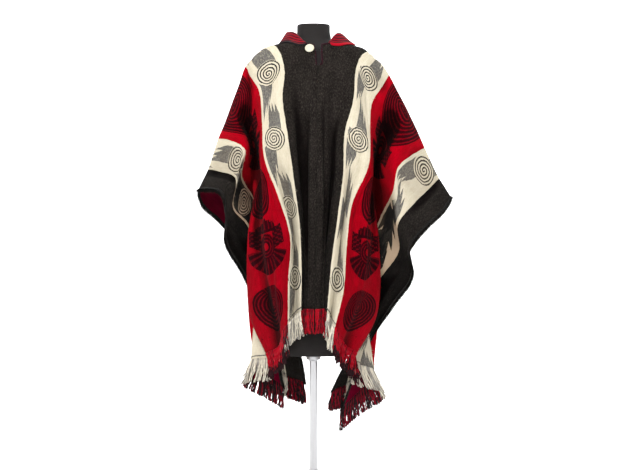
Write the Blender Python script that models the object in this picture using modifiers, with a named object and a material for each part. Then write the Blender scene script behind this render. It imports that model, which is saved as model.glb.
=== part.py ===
"""A poncho of two woven webs, worn by a limbless dress form. Metres, +Z up, the front faces -Y.

Each web is one sheet of cloth. Its own two measures are u, the way from the centre seam out to the selvedge,
and v, the way from the shoulder line down: v is above 0 on the front and below 0 on the back. The tables give
where the main warp lines of each quarter hang, from the shoulder line to the hem.
"""

import math

import bmesh
import bpy
import numpy as np
from mathutils import Matrix, Vector
from mathutils.bvhtree import BVHTree

# ---- driving sizes -------------------------------------------------------------------------------------
WEB_WIDTH = 0.710
HALF_LENGTH = 0.920
WALL = 0.0030
SEAM_GAP = 0.0003
FORM_CLEAR = 0.0020
NECK_CUT = {-1: 0.052, 1: 0.042}
NECK_FRONT = 0.080
NECK_BACK = 0.085
SLIT_END = 0.160
SLIT_SPREAD = {-1: 0.055, 1: 0.046}
FRINGE_LENGTH = 0.078
FRINGE_STRIP = 0.007
FRINGE_GAP = 0.0016
LOCKS_A_COLUMN = 3
LOCK_END = 0.45
BUTTON_U = 0.0200
BUTTON_V = 0.102
BUTTON_RADIUS = 0.015
BUTTON_THICK = 0.0052
SHANK_RADIUS = 0.0030
CORD_RADIUS = 0.0011
POLE_RADIUS = 0.0140
BASE_RADIUS = 0.160
BASE_THICK = 0.012

# ---- the dress form: name, height, half width, half depth, centre depth ---------------------------------
FORM = (
    ("neck_top", 1.520, 0.0545, 0.0545, 0.004),
    ("neck_mid", 1.485, 0.0570, 0.0570, 0.003),
    ("neck_root", 1.464, 0.0660, 0.0610, 0.002),
    ("yoke", 1.450, 0.0960, 0.0670, 0.000),
    ("shoulder_top", 1.438, 0.1480, 0.0790, -0.001),
    ("shoulder", 1.418, 0.1860, 0.0890, -0.002),
    ("shoulder_end", 1.393, 0.2070, 0.0980, -0.003),
    ("armhole", 1.330, 0.2130, 0.1090, -0.005),
    ("bust", 1.230, 0.1980, 0.1200, -0.008),
    ("rib", 1.140, 0.1700, 0.1110, -0.006),
    ("waist", 1.050, 0.1450, 0.0990, 0.000),
    ("high_hip", 0.950, 0.1560, 0.1030, 0.000),
    ("hip", 0.850, 0.1680, 0.1080, 0.000),
    ("low_hip", 0.700, 0.1650, 0.1060, 0.000),
    ("thigh", 0.550, 0.1550, 0.1000, 0.000),
    ("foot", 0.440, 0.1450, 0.0930, 0.000),
    ("foot_edge", 0.424, 0.1370, 0.0860, 0.000),
)
FORM_POWER = 2.15
FORM_SIDES = 30

# ---- warp lines: u, then (x, y, z) at each station -------------------------------------------------------
STATIONS = (0.0, 0.07, 0.15, 0.25, 0.36, 0.50, 0.64, 0.78, 0.92)
SEAM_X = (0.018, 0.016, 0.014, 0.013, 0.013, 0.012, 0.010, 0.007, 0.004)
SEAM_FRONT_YZ = (
    (0.000, 1.470), (-0.074, 1.452), (-0.113, 1.382), (-0.130, 1.276), (-0.138, 1.160),
    (-0.146, 1.014), (-0.152, 0.869), (-0.158, 0.725), (-0.163, 0.585),
)
SEAM_BACK_YZ = (
    (0.000, 1.470), (0.074, 1.454), (0.109, 1.387), (0.123, 1.281), (0.129, 1.167),
    (0.133, 1.024), (0.136, 0.884), (0.140, 0.744), (0.143, 0.604),
)
FLAT_CENTRE = 0.018
FRONT_RIGHT = (
    ("centre_valley", 0.072, ((-0.104, -0.004, 1.455), (-0.052, -0.076, 1.424), (-0.048, -0.112, 1.356),
                              (-0.054, -0.129, 1.262), (-0.049, -0.128, 1.150), (-0.042, -0.116, 1.010),
                              (-0.033, -0.122, 0.870), (-0.028, -0.130, 0.728), (-0.0275, -0.138, 0.583))),
    ("black_edge", 0.120, ((-0.138, 0.000, 1.442), (-0.104, -0.052, 1.414), (-0.093, -0.100, 1.357),
                           (-0.100, -0.134, 1.265), (-0.085, -0.145, 1.155), (-0.065, -0.149, 1.015),
                           (-0.046, -0.152, 0.873), (-0.039, -0.155, 0.728), (-0.040, -0.158, 0.578))),
    ("inner_cream", 0.180, ((-0.196, 0.000, 1.413), (-0.155, -0.050, 1.378), (-0.138, -0.098, 1.316),
                            (-0.135, -0.134, 1.223), (-0.127, -0.146, 1.115), (-0.092, -0.130, 0.980),
                            (-0.067, -0.122, 0.845), (-0.062, -0.130, 0.703), (-0.061, -0.136, 0.560))),
    ("cream_red", 0.235, ((-0.226, 0.000, 1.380), (-0.196, -0.044, 1.338), (-0.174, -0.090, 1.279),
                          (-0.166, -0.127, 1.184), (-0.160, -0.145, 1.080), (-0.114, -0.160, 0.948),
                          (-0.076, -0.170, 0.815), (-0.082, -0.177, 0.676), (-0.083, -0.180, 0.538))),
    ("red_side", 0.300, ((-0.248, 0.000, 1.320), (-0.224, -0.050, 1.288), (-0.199, -0.060, 1.228),
                         (-0.180, -0.080, 1.140), (-0.168, -0.122, 1.042), (-0.145, -0.146, 0.908),
                         (-0.120, -0.152, 0.771), (-0.112, -0.150, 0.633), (-0.100, -0.140, 0.497))),
    ("red_middle", 0.365, ((-0.270, 0.000, 1.260), (-0.249, -0.053, 1.234), (-0.222, -0.034, 1.172),
                           (-0.188, -0.020, 1.092), (-0.168, -0.080, 0.998), (-0.164, -0.116, 0.864),
                           (-0.155, -0.117, 0.726), (-0.137, -0.107, 0.588), (-0.115, -0.083, 0.455))),
    ("front_fold", 0.430, ((-0.293, 0.000, 1.197), (-0.262, -0.062, 1.184), (-0.222, -0.074, 1.140),
                           (-0.207, -0.030, 1.058), (-0.194, -0.030, 0.972), (-0.210, -0.060, 0.830),
                           (-0.212, -0.058, 0.694), (-0.204, -0.040, 0.560), (-0.155, -0.030, 0.428))),
    ("red_cream", 0.495, ((-0.317, 0.000, 1.140), (-0.275, -0.062, 1.133), (-0.226, -0.106, 1.104),
                          (-0.236, -0.066, 1.018), (-0.197, 0.006, 0.935), (-0.182, -0.060, 0.800),
                          (-0.200, -0.026, 0.660), (-0.190, 0.016, 0.528), (-0.142, 0.000, 0.412))),
    ("cream_black", 0.605, ((-0.351, 0.000, 1.037), (-0.308, -0.056, 1.030), (-0.254, -0.112, 1.008),
                            (-0.264, -0.088, 0.915), (-0.224, -0.020, 0.858), (-0.178, 0.026, 0.760),
                            (-0.172, 0.044, 0.635), (-0.196, 0.050, 0.508), (-0.208, 0.046, 0.388))),
    ("border_fold", 0.660, ((-0.368, 0.000, 1.001), (-0.330, -0.066, 1.003), (-0.278, -0.128, 0.986),
                            (-0.281, -0.082, 0.903), (-0.260, -0.002, 0.830), (-0.208, 0.040, 0.726),
                            (-0.184, 0.060, 0.604), (-0.168, 0.068, 0.475), (-0.160, 0.064, 0.346))),
    ("selvedge", 0.710, ((-0.383, 0.000, 0.968), (-0.348, -0.060, 0.974), (-0.299, -0.124, 0.962),
                         (-0.288, -0.060, 0.884), (-0.292, 0.002, 0.800), (-0.236, 0.038, 0.692),
                         (-0.188, 0.078, 0.574), (-0.138, 0.080, 0.442), (-0.105, 0.074, 0.305))),
)
FRONT_LEFT = (
    ("centre_valley", 0.072, ((0.135, -0.003, 1.450), (0.098, -0.078, 1.420), (0.083, -0.112, 1.352),
                              (0.080, -0.130, 1.260), (0.068, -0.126, 1.152), (0.062, -0.118, 1.012),
                              (0.050, -0.122, 0.873), (0.038, -0.129, 0.730), (0.032, -0.135, 0.584))),
    ("black_edge", 0.120, ((0.180, 0.000, 1.421), (0.150, -0.055, 1.404), (0.136, -0.100, 1.350),
                           (0.129, -0.134, 1.261), (0.102, -0.146, 1.157), (0.096, -0.148, 1.017),
                           (0.078, -0.151, 0.877), (0.058, -0.155, 0.733), (0.044, -0.158, 0.572))),
    ("inner_cream", 0.180, ((0.222, 0.000, 1.394), (0.191, -0.052, 1.358), (0.166, -0.098, 1.303),
                            (0.158, -0.133, 1.210), (0.143, -0.147, 1.105), (0.113, -0.132, 0.966),
                            (0.094, -0.130, 0.829), (0.080, -0.138, 0.690), (0.057, -0.138, 0.546))),
    ("cream_red", 0.235, ((0.251, 0.000, 1.353), (0.226, -0.045, 1.311), (0.192, -0.092, 1.255),
                          (0.183, -0.126, 1.160), (0.178, -0.141, 1.052), (0.124, -0.153, 0.922),
                          (0.107, -0.162, 0.787), (0.098, -0.166, 0.652), (0.070, -0.168, 0.528))),
    ("red_side", 0.300, ((0.280, 0.000, 1.297), (0.256, -0.051, 1.264), (0.221, -0.062, 1.205),
                         (0.198, -0.076, 1.118), (0.188, -0.118, 1.016), (0.158, -0.144, 0.884),
                         (0.145, -0.150, 0.749), (0.127, -0.148, 0.614), (0.088, -0.138, 0.494))),
    ("red_middle", 0.365, ((0.310, 0.000, 1.240), (0.286, -0.056, 1.214), (0.250, -0.036, 1.154),
                           (0.208, -0.016, 1.072), (0.186, -0.076, 0.978), (0.178, -0.117, 0.846),
                           (0.175, -0.119, 0.710), (0.150, -0.106, 0.578), (0.104, -0.085, 0.462))),
    ("front_fold", 0.430, ((0.339, 0.000, 1.180), (0.304, -0.070, 1.158), (0.258, -0.082, 1.104),
                           (0.226, -0.040, 1.026), (0.202, -0.024, 0.945), (0.213, -0.056, 0.816),
                           (0.214, -0.056, 0.680), (0.203, -0.044, 0.552), (0.140, -0.040, 0.432))),
    ("red_cream", 0.495, ((0.370, 0.000, 1.110), (0.326, -0.056, 1.086), (0.276, -0.108, 1.045),
                          (0.256, -0.100, 0.960), (0.225, -0.024, 0.888), (0.182, -0.060, 0.765),
                          (0.200, -0.026, 0.630), (0.176, 0.010, 0.502), (0.129, 0.000, 0.398))),
    ("cream_black", 0.605, ((0.418, 0.000, 1.008), (0.379, -0.046, 0.972), (0.328, -0.092, 0.926),
                            (0.276, -0.128, 0.862), (0.280, -0.076, 0.770), (0.216, -0.006, 0.666),
                            (0.174, 0.030, 0.556), (0.188, 0.040, 0.444), (0.204, 0.036, 0.350))),
    ("border_fold", 0.660, ((0.438, 0.000, 0.977), (0.404, -0.054, 0.940), (0.352, -0.100, 0.893),
                            (0.298, -0.130, 0.828), (0.306, -0.068, 0.732), (0.246, 0.002, 0.630),
                            (0.186, 0.048, 0.517), (0.170, 0.060, 0.400), (0.155, 0.058, 0.290))),
    ("selvedge", 0.710, ((0.458, 0.000, 0.946), (0.430, -0.046, 0.906), (0.377, -0.092, 0.862),
                         (0.313, -0.120, 0.790), (0.325, -0.070, 0.694), (0.268, -0.005, 0.594),
                         (0.198, 0.066, 0.478), (0.144, 0.076, 0.355), (0.095, 0.074, 0.228))),
)
BACK_RIGHT = (
    ("centre_valley", 0.072, ((-0.104, -0.004, 1.455), (-0.058, 0.071, 1.428), (-0.057, 0.108, 1.364),
                              (-0.058, 0.121, 1.267), (-0.056, 0.121, 1.157), (-0.052, 0.114, 1.017),
                              (-0.047, 0.110, 0.877), (-0.042, 0.108, 0.737), (-0.040, 0.109, 0.597))),
    ("black_edge", 0.120, ((-0.138, 0.000, 1.442), (-0.110, 0.055, 1.410), (-0.105, 0.098, 1.350),
                           (-0.106, 0.122, 1.255), (-0.100, 0.133, 1.147), (-0.088, 0.140, 1.008),
                           (-0.074, 0.145, 0.868), (-0.062, 0.150, 0.728), (-0.056, 0.153, 0.588))),
    ("inner_cream", 0.180, ((-0.196, 0.000, 1.413), (-0.160, 0.050, 1.373), (-0.150, 0.090, 1.310),
                            (-0.150, 0.115, 1.215), (-0.142, 0.121, 1.107), (-0.124, 0.116, 0.968),
                            (-0.106, 0.115, 0.830), (-0.090, 0.118, 0.690), (-0.082, 0.122, 0.552))),
    ("cream_red", 0.235, ((-0.226, 0.000, 1.380), (-0.198, 0.045, 1.335), (-0.186, 0.080, 1.265),
                          (-0.186, 0.110, 1.170), (-0.180, 0.135, 1.062), (-0.158, 0.160, 0.925),
                          (-0.135, 0.172, 0.788), (-0.118, 0.180, 0.650), (-0.110, 0.183, 0.512))),
    ("back_valley", 0.300, ((-0.248, 0.000, 1.320), (-0.226, 0.054, 1.284), (-0.206, 0.068, 1.212),
                            (-0.198, 0.084, 1.118), (-0.194, 0.100, 1.010), (-0.180, 0.112, 0.874),
                            (-0.166, 0.122, 0.735), (-0.157, 0.136, 0.597), (-0.150, 0.147, 0.458))),
    ("red_middle", 0.365, ((-0.270, 0.000, 1.260), (-0.250, 0.056, 1.232), (-0.226, 0.058, 1.157),
                           (-0.212, 0.082, 1.062), (-0.208, 0.122, 0.957), (-0.210, 0.152, 0.822),
                           (-0.212, 0.166, 0.682), (-0.208, 0.170, 0.542), (-0.198, 0.171, 0.402))),
    ("back_fold", 0.430, ((-0.293, 0.000, 1.197), (-0.266, 0.068, 1.176), (-0.246, 0.098, 1.110),
                          (-0.230, 0.112, 1.014), (-0.226, 0.124, 0.910), (-0.226, 0.139, 0.775),
                          (-0.226, 0.144, 0.640), (-0.218, 0.142, 0.508), (-0.203, 0.140, 0.384))),
    ("red_cream", 0.495, ((-0.317, 0.000, 1.140), (-0.286, 0.062, 1.126), (-0.260, 0.108, 1.072),
                          (-0.242, 0.106, 0.980), (-0.224, 0.104, 0.880), (-0.204, 0.113, 0.750),
                          (-0.188, 0.122, 0.620), (-0.173, 0.122, 0.492), (-0.158, 0.118, 0.366))),
    ("cream_black", 0.605, ((-0.351, 0.000, 1.037), (-0.316, 0.056, 1.016), (-0.274, 0.104, 0.968),
                            (-0.252, 0.108, 0.878), (-0.220, 0.098, 0.778), (-0.180, 0.094, 0.660),
                            (-0.141, 0.098, 0.548), (-0.110, 0.101, 0.440), (-0.090, 0.102, 0.336))),
    ("border_fold", 0.660, ((-0.368, 0.000, 1.001), (-0.350, 0.060, 0.966), (-0.304, 0.112, 0.922),
                            (-0.262, 0.112, 0.846), (-0.222, 0.090, 0.750), (-0.166, 0.080, 0.636),
                            (-0.115, 0.086, 0.528), (-0.080, 0.090, 0.425), (-0.062, 0.094, 0.326))),
    ("selvedge", 0.710, ((-0.383, 0.000, 0.968), (-0.373, 0.052, 0.920), (-0.330, 0.104, 0.876),
                         (-0.274, 0.116, 0.812), (-0.217, 0.076, 0.714), (-0.148, 0.066, 0.604),
                         (-0.088, 0.090, 0.508), (-0.050, 0.093, 0.410), (-0.034, 0.096, 0.316))),
)
BACK_LEFT = (
    ("centre_valley", 0.072, ((0.135, -0.003, 1.450), (0.085, 0.071, 1.426), (0.083, 0.108, 1.362),
                              (0.084, 0.121, 1.265), (0.082, 0.121, 1.155), (0.076, 0.114, 1.015),
                              (0.068, 0.110, 0.875), (0.060, 0.108, 0.735), (0.054, 0.109, 0.595))),
    ("black_edge", 0.120, ((0.180, 0.000, 1.421), (0.150, 0.055, 1.402), (0.134, 0.098, 1.348),
                           (0.131, 0.120, 1.252), (0.126, 0.133, 1.143), (0.113, 0.140, 1.005),
                           (0.097, 0.145, 0.865), (0.082, 0.150, 0.726), (0.073, 0.153, 0.586))),
    ("inner_cream", 0.180, ((0.222, 0.000, 1.394), (0.195, 0.050, 1.357), (0.178, 0.090, 1.298),
                            (0.173, 0.113, 1.204), (0.166, 0.120, 1.097), (0.148, 0.116, 0.958),
                            (0.128, 0.115, 0.820), (0.110, 0.118, 0.682), (0.100, 0.122, 0.545))),
    ("cream_red", 0.235, ((0.251, 0.000, 1.353), (0.225, 0.045, 1.308), (0.208, 0.078, 1.240),
                          (0.204, 0.108, 1.145), (0.197, 0.134, 1.037), (0.177, 0.160, 0.900),
                          (0.155, 0.172, 0.763), (0.138, 0.180, 0.625), (0.128, 0.183, 0.490))),
    ("back_valley", 0.300, ((0.280, 0.000, 1.297), (0.256, 0.053, 1.260), (0.236, 0.068, 1.188),
                            (0.226, 0.084, 1.093), (0.216, 0.100, 0.986), (0.202, 0.112, 0.850),
                            (0.184, 0.122, 0.711), (0.171, 0.136, 0.574), (0.160, 0.147, 0.440))),
    ("red_middle", 0.365, ((0.310, 0.000, 1.240), (0.288, 0.056, 1.210), (0.262, 0.060, 1.135),
                           (0.243, 0.084, 1.040), (0.230, 0.122, 0.935), (0.224, 0.152, 0.800),
                           (0.220, 0.166, 0.660), (0.211, 0.170, 0.522), (0.198, 0.171, 0.388))),
    ("back_fold", 0.430, ((0.339, 0.000, 1.180), (0.309, 0.066, 1.150), (0.280, 0.098, 1.084),
                          (0.256, 0.112, 0.988), (0.243, 0.124, 0.884), (0.236, 0.139, 0.750),
                          (0.229, 0.143, 0.615), (0.216, 0.141, 0.485), (0.202, 0.139, 0.364))),
    ("red_cream", 0.495, ((0.370, 0.000, 1.110), (0.333, 0.058, 1.084), (0.300, 0.104, 1.028),
                          (0.274, 0.106, 0.938), (0.250, 0.104, 0.836), (0.224, 0.112, 0.706),
                          (0.199, 0.121, 0.580), (0.178, 0.121, 0.458), (0.160, 0.116, 0.344))),
    ("cream_black", 0.605, ((0.418, 0.000, 1.008), (0.386, 0.046, 0.968), (0.346, 0.086, 0.918),
                            (0.306, 0.106, 0.840), (0.266, 0.100, 0.740), (0.218, 0.095, 0.626),
                            (0.174, 0.098, 0.514), (0.138, 0.101, 0.405), (0.112, 0.101, 0.306))),
    ("border_fold", 0.660, ((0.438, 0.000, 0.977), (0.412, 0.050, 0.935), (0.366, 0.088, 0.885),
                            (0.321, 0.108, 0.812), (0.280, 0.107, 0.713), (0.227, 0.092, 0.601),
                            (0.170, 0.089, 0.494), (0.123, 0.093, 0.391), (0.090, 0.095, 0.298))),
    ("selvedge", 0.710, ((0.458, 0.000, 0.946), (0.432, 0.040, 0.898), (0.386, 0.076, 0.850),
                         (0.334, 0.108, 0.780), (0.292, 0.115, 0.684), (0.234, 0.098, 0.574),
                         (0.168, 0.086, 0.472), (0.109, 0.090, 0.377), (0.068, 0.092, 0.290))),
)

# ---- where the cloth's grid is cut ------------------------------------------------------------------------
COLUMNS = (
    0.0, 0.012, 0.024, 0.042, 0.060, 0.075, 0.090, 0.105, 0.120, 0.140, 0.160, 0.180, 0.198, 0.216, 0.235,
    0.262, 0.300, 0.335, 0.365, 0.398, 0.430, 0.462, 0.495, 0.530, 0.567, 0.605, 0.640, 0.675, 0.710,
)
FRONT_ROWS = (
    0.020, 0.040, 0.057, 0.070, 0.080, 0.105, 0.132, 0.160, 0.195, 0.235, 0.285, 0.335, 0.390, 0.450, 0.515, 0.580,
    0.650, 0.720, 0.790, 0.855, 0.920,
)
BACK_ROWS = (
    0.020, 0.040, 0.058, 0.073, 0.085, 0.125, 0.175, 0.235, 0.300, 0.370, 0.450, 0.540, 0.640, 0.740, 0.830,
    0.920,
)

# ---- collar: v on the neck edge, rise of the fold, then u and v where the fall's edge lies ----------------
COLLAR = (
    ("front_end", 0.074, 0.008, 0.042, 0.082),
    ("front", 0.062, 0.018, 0.060, 0.074),
    ("front_side", 0.036, 0.030, 0.082, 0.050),
    ("side", 0.000, 0.033, 0.090, 0.000),
    ("back_side", -0.050, 0.033, 0.072, -0.086),
    ("back", -0.085, 0.032, 0.000, -0.128),
)
COLLAR_ROWS = (
    0.074, 0.070, 0.057, 0.040, 0.030, 0.020, 0.010, 0.0, -0.010, -0.020, -0.027, -0.034, -0.040, -0.046, -0.052,
    -0.058, -0.0655, -0.073, -0.079, -0.085,
)
COLLAR_RISE_LEFT = 0.80
COLLAR_WALL = 0.0026
COLLAR_LIFT = 0.0052
COLLAR_CLEAR = 0.0048
CHEST = (0.008, 0.0, 1.350)


def clear_scene():
    for thing in list(bpy.data.objects):
        bpy.data.objects.remove(thing, do_unlink=True)


def material(name, colour, rough, metal=0.0):
    made = bpy.data.materials.new(name)
    made.use_nodes = True
    shader = made.node_tree.nodes["Principled BSDF"]
    shader.inputs["Base Color"].default_value = (*colour, 1.0)
    shader.inputs["Roughness"].default_value = rough
    shader.inputs["Metallic"].default_value = metal
    made.diffuse_color = (*colour, 1.0)
    return made


def spline(knots, values, at):
    """A smooth curve through values (knots first), read at the places asked for."""
    knots = np.asarray(knots, float)
    values = np.asarray(values, float)
    at = np.asarray(at, float)
    step = np.diff(knots)
    shape = (-1,) + (1,) * (values.ndim - 1)
    slope = np.diff(values, axis=0) / step.reshape(shape)
    inner = slope[:-1] * step[1:].reshape(shape) + slope[1:] * step[:-1].reshape(shape)
    inner = inner / (step[1:] + step[:-1]).reshape(shape)
    tangent = np.concatenate([slope[:1], inner, slope[-1:]])
    low = np.clip(np.searchsorted(knots, at, side="right") - 1, 0, len(step) - 1)
    part = ((at - knots[low]) / step[low]).reshape(shape)
    wide = step[low].reshape(shape)
    first = values[low] * (2 * part**3 - 3 * part**2 + 1) + tangent[low] * wide * (part**3 - 2 * part**2 + part)
    return first + values[low + 1] * (3 * part**2 - 2 * part**3) + tangent[low + 1] * wide * (part**3 - part**2)


def form_section(z):
    """Half width, half depth and centre depth of the form at each height."""
    heights = np.array([row[1] for row in FORM])[::-1]
    sizes = np.array([row[2:5] for row in FORM])[::-1]
    return spline(heights, sizes, np.clip(z, heights[0], heights[-1]))


def form_reach(points):
    """Above 0 outside the form and below 0 inside it, in metres, with the way out."""
    def level(place):
        size = form_section(place[:, 2])
        across = (np.abs(place[:, 0]) / size[:, 0]) ** FORM_POWER
        deep = (np.abs(place[:, 1] - size[:, 2]) / size[:, 1]) ** FORM_POWER
        return (across + deep) ** (1 / FORM_POWER) - 1

    here = level(points)
    small = 0.0005
    way = np.empty_like(points)
    for axis in range(3):
        moved = points.copy()
        moved[:, axis] += small
        way[:, axis] = (level(moved) - here) / small
    size = np.maximum(np.linalg.norm(way, axis=1), 1e-6)
    return here / size, way / size[:, None]


def off_the_form(points, clear):
    """Moves every point that is nearer the form than clear straight out from it."""
    points = np.array(points, float)
    for _ in range(6):
        reach, way = form_reach(points)
        here = clear + 0.0015 * np.clip((points[:, 2] - 1.40) / 0.03, 0.0, 1.0)
        short = np.clip(here - reach, 0.0, 0.02)
        short[(points[:, 2] > 1.51) | (points[:, 2] < 0.40)] = 0.0
        points += way * short[:, None]
    return points


def seam_x(v):
    return spline(STATIONS, SEAM_X, np.abs(v))


def opening(v, side):
    """How far the cut at the neck and the slit part the seam's edge from the seam's line."""
    front = np.maximum(0.0, 1 - v / SLIT_END) ** 2
    back = np.maximum(0.0, 1 + v / NECK_BACK) ** 2
    return SLIT_SPREAD[side] * np.where(v >= 0, front, back)


def warp_lines(side):
    """u of every warp line of one web, and each line's points from the back hem to the front hem."""
    front = FRONT_LEFT if side > 0 else FRONT_RIGHT
    back = BACK_LEFT if side > 0 else BACK_RIGHT
    stations = np.array([-s for s in STATIONS[:0:-1]] + list(STATIONS))
    edge = seam_x(stations) + side * (opening(stations, side) + SEAM_GAP / 2)
    depth = np.array(list(SEAM_BACK_YZ[:0:-1]) + list(SEAM_FRONT_YZ))
    centre = np.column_stack([edge, depth])
    flat = centre + np.array([side * FLAT_CENTRE, 0.0, 0.0])
    lines = [centre, flat]
    across = [0.0, FLAT_CENTRE]
    for ahead, behind in zip(front, back):
        across.append(ahead[1])
        lines.append(np.array(list(behind[2][:0:-1]) + list(ahead[2])))
    return stations, np.array(across), np.array(lines)


def neck_edge(side, v):
    """u of the cut edge: 0 where the two webs meet or where the slit is."""
    reach = np.where(v >= 0, v / NECK_FRONT, -v / NECK_BACK)
    return NECK_CUT[side] * np.maximum(0.0, 1 - reach**2.6) ** (1 / 2.6)


def cloth(side, u, v):
    """Points of one web at u and v, given as equal lists."""
    u = np.asarray(u, float)
    v = np.asarray(v, float)
    stations, across, lines = warp_lines(side)
    found = np.empty((len(u), 3))
    sections = spline(stations, lines.transpose(1, 0, 2), v)
    sections[:, 0, 0] = seam_x(v) + side * (opening(v, side) + SEAM_GAP / 2)
    sections[:, 1, 0] = sections[:, 0, 0] + side * FLAT_CENTRE
    for index in range(len(u)):
        found[index] = spline(across, sections[index], u[index:index + 1])[0]
    return off_the_form(found, WALL / 2 + FORM_CLEAR)


def cloth_out(side, u, v):
    """The way out of the cloth's outer face at u and v."""
    step = 0.002
    along = cloth(side, u, np.asarray(v) + step) - cloth(side, u, np.asarray(v) - step)
    over = cloth(side, np.asarray(u) + step, v) - cloth(side, np.maximum(np.asarray(u) - step, 0.0), v)
    out = np.cross(along, over) * side
    return out / np.linalg.norm(out, axis=1)[:, None]


def linked(name, mesh, collection, look):
    made = bpy.data.objects.new(name, mesh)
    collection.objects.link(made)
    mesh.materials.append(look)
    return made


def smooth(thing):
    for face in thing.data.polygons:
        face.use_smooth = True


def sheet_mesh(name, grid):
    """An open sheet of four-sided faces through a grid of points."""
    rows, columns = grid.shape[:2]
    faces = []
    for row in range(rows - 1):
        for column in range(columns - 1):
            first = row * columns + column
            faces.append((first, first + 1, first + columns + 1, first + columns))
    mesh = bpy.data.meshes.new(name)
    mesh.from_pydata([tuple(p) for p in grid.reshape(-1, 3)], [], faces)
    mesh.update()
    return mesh


def thicken(thing, wall):
    shell = thing.modifiers.new("wall", "SOLIDIFY")
    shell.thickness = wall
    shell.offset = 0.0
    shell.use_even_offset = False
    shell.use_rim = True


def build_web(name, side, collection, look):
    rows = [-r for r in BACK_ROWS[::-1]] + [0.0] + list(FRONT_ROWS)
    across = []
    down = []
    for v in rows:
        start = float(neck_edge(side, np.array(v)))
        for u in COLUMNS:
            across.append(start + u * (WEB_WIDTH - start) / WEB_WIDTH)
            down.append(v)
    grid = cloth(side, across, down).reshape(len(rows), len(COLUMNS), 3)
    thing = linked(name, sheet_mesh(name, grid), collection, look)
    thicken(thing, WALL)
    smooth(thing)
    return thing


def hem_line(side, end):
    """Points along a hem, straight between the web's own columns, and the way the cloth falls there."""
    sign = 1 if end == "front" else -1
    columns = np.array(COLUMNS)
    edge = cloth(side, columns, np.full(len(columns), sign * HALF_LENGTH))
    above = cloth(side, columns, np.full(len(columns), sign * (HALF_LENGTH - 0.02)))
    fall = edge - above
    fall = fall / np.linalg.norm(fall, axis=1)[:, None]
    out = np.cross(fall, np.gradient(edge, axis=0))
    out = out / np.linalg.norm(out, axis=1)[:, None]
    at = np.linspace(0, len(columns) - 1, (len(columns) - 1) * LOCKS_A_COLUMN + 1)
    low = np.minimum(at.astype(int), len(columns) - 2)
    part = (at - low)[:, None]
    return [line[low] * (1 - part) + line[low + 1] * part for line in (edge, fall, out)]


def build_fringe(name, side, end, collection, look):
    """A narrow backing strip parted from the hem, and locks drawn out of every second place in its rim."""
    hem, fall, out = hem_line(side, end)
    out = out * WALL * 0.36
    count = len(hem)
    top = hem + fall * FRINGE_GAP
    low = top + fall * FRINGE_STRIP
    body = bmesh.new()
    rings = []
    for index in range(count):
        ring = [top[index] + out[index], top[index] - out[index], low[index] - out[index], low[index] + out[index]]
        rings.append([body.verts.new(p) for p in ring])
    for index in range(count - 1):
        here = rings[index]
        after = rings[index + 1]
        body.faces.new((here[0], here[1], after[1], after[0]))
        body.faces.new((here[1], here[2], after[2], after[1]))
        body.faces.new((here[3], here[0], after[0], after[3]))
        if index % 2:
            body.faces.new((here[2], here[3], after[3], after[2]))
    body.faces.new(rings[0][::-1])
    body.faces.new(rings[-1])
    for index in range(0, count - 1, 2):
        root = [rings[index][2], rings[index][3], rings[index + 1][3], rings[index + 1][2]]
        middle = sum((np.array(vert.co) for vert in root), np.zeros(3)) / 4
        lean = fall[index] * 0.50 + np.array([0.0, 0.0, -0.50])
        lean = lean / np.linalg.norm(lean)
        reach = FRINGE_LENGTH * (0.95 + 0.05 * math.sin(index * 1.7))
        tip = [body.verts.new(middle + lean * reach + (np.array(vert.co) - middle) * LOCK_END) for vert in root]
        for corner in range(4):
            body.faces.new((root[corner], root[(corner + 1) % 4], tip[(corner + 1) % 4], tip[corner]))
        body.faces.new(tip[::-1])
    bmesh.ops.recalc_face_normals(body, faces=body.faces)
    mesh = bpy.data.meshes.new(name)
    body.to_mesh(mesh)
    body.free()
    return linked(name, mesh, collection, look)


def build_form(collection, look):
    heights = []
    rows = [row[1] for row in FORM]
    for upper, lower in zip(rows, rows[1:]):
        parts = 2 if upper - lower > 0.05 or lower > 1.40 else 1
        heights.extend(upper + (lower - upper) * part / parts for part in range(parts))
    heights.append(rows[-1])
    size = form_section(np.array(heights))
    points = []
    for height, (wide, deep, centre) in zip(heights, size):
        for side in range(FORM_SIDES):
            turn = 2 * math.pi * side / FORM_SIDES
            c, s = math.cos(turn), math.sin(turn)
            x = math.copysign(abs(c) ** (2 / FORM_POWER), c) * wide
            y = math.copysign(abs(s) ** (2 / FORM_POWER), s) * deep + centre
            points.append((x, y, height))
    faces = []
    for row in range(len(heights) - 1):
        for side in range(FORM_SIDES):
            after = (side + 1) % FORM_SIDES
            here = row * FORM_SIDES
            faces.append((here + side, here + FORM_SIDES + side, here + FORM_SIDES + after, here + after))
    faces.append(tuple(range(FORM_SIDES)))
    faces.append(tuple(range((len(heights) - 1) * FORM_SIDES, len(heights) * FORM_SIDES))[::-1])
    mesh = bpy.data.meshes.new("dress_form")
    mesh.from_pydata(points, [], faces)
    mesh.update()
    thing = linked("dress_form", mesh, collection, look)
    smooth(thing)
    return thing


def build_turned(name, profile, collection, look, steps=32):
    """A body turned about Z. The profile runs from the axis at the top to the axis at the bottom, at +X."""
    mesh = bpy.data.meshes.new(name)
    edges = [(i, i + 1) for i in range(len(profile) - 1)]
    mesh.from_pydata([(x, 0.0, z) for x, z in profile], edges, [])
    thing = linked(name, mesh, collection, look)
    turn = thing.modifiers.new("turn", "SCREW")
    turn.axis = "Z"
    turn.angle = 2 * math.pi
    turn.steps = steps
    turn.render_steps = steps
    turn.use_merge_vertices = True
    turn.merge_threshold = 0.0001
    turn.use_smooth_shade = True
    return thing


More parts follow.
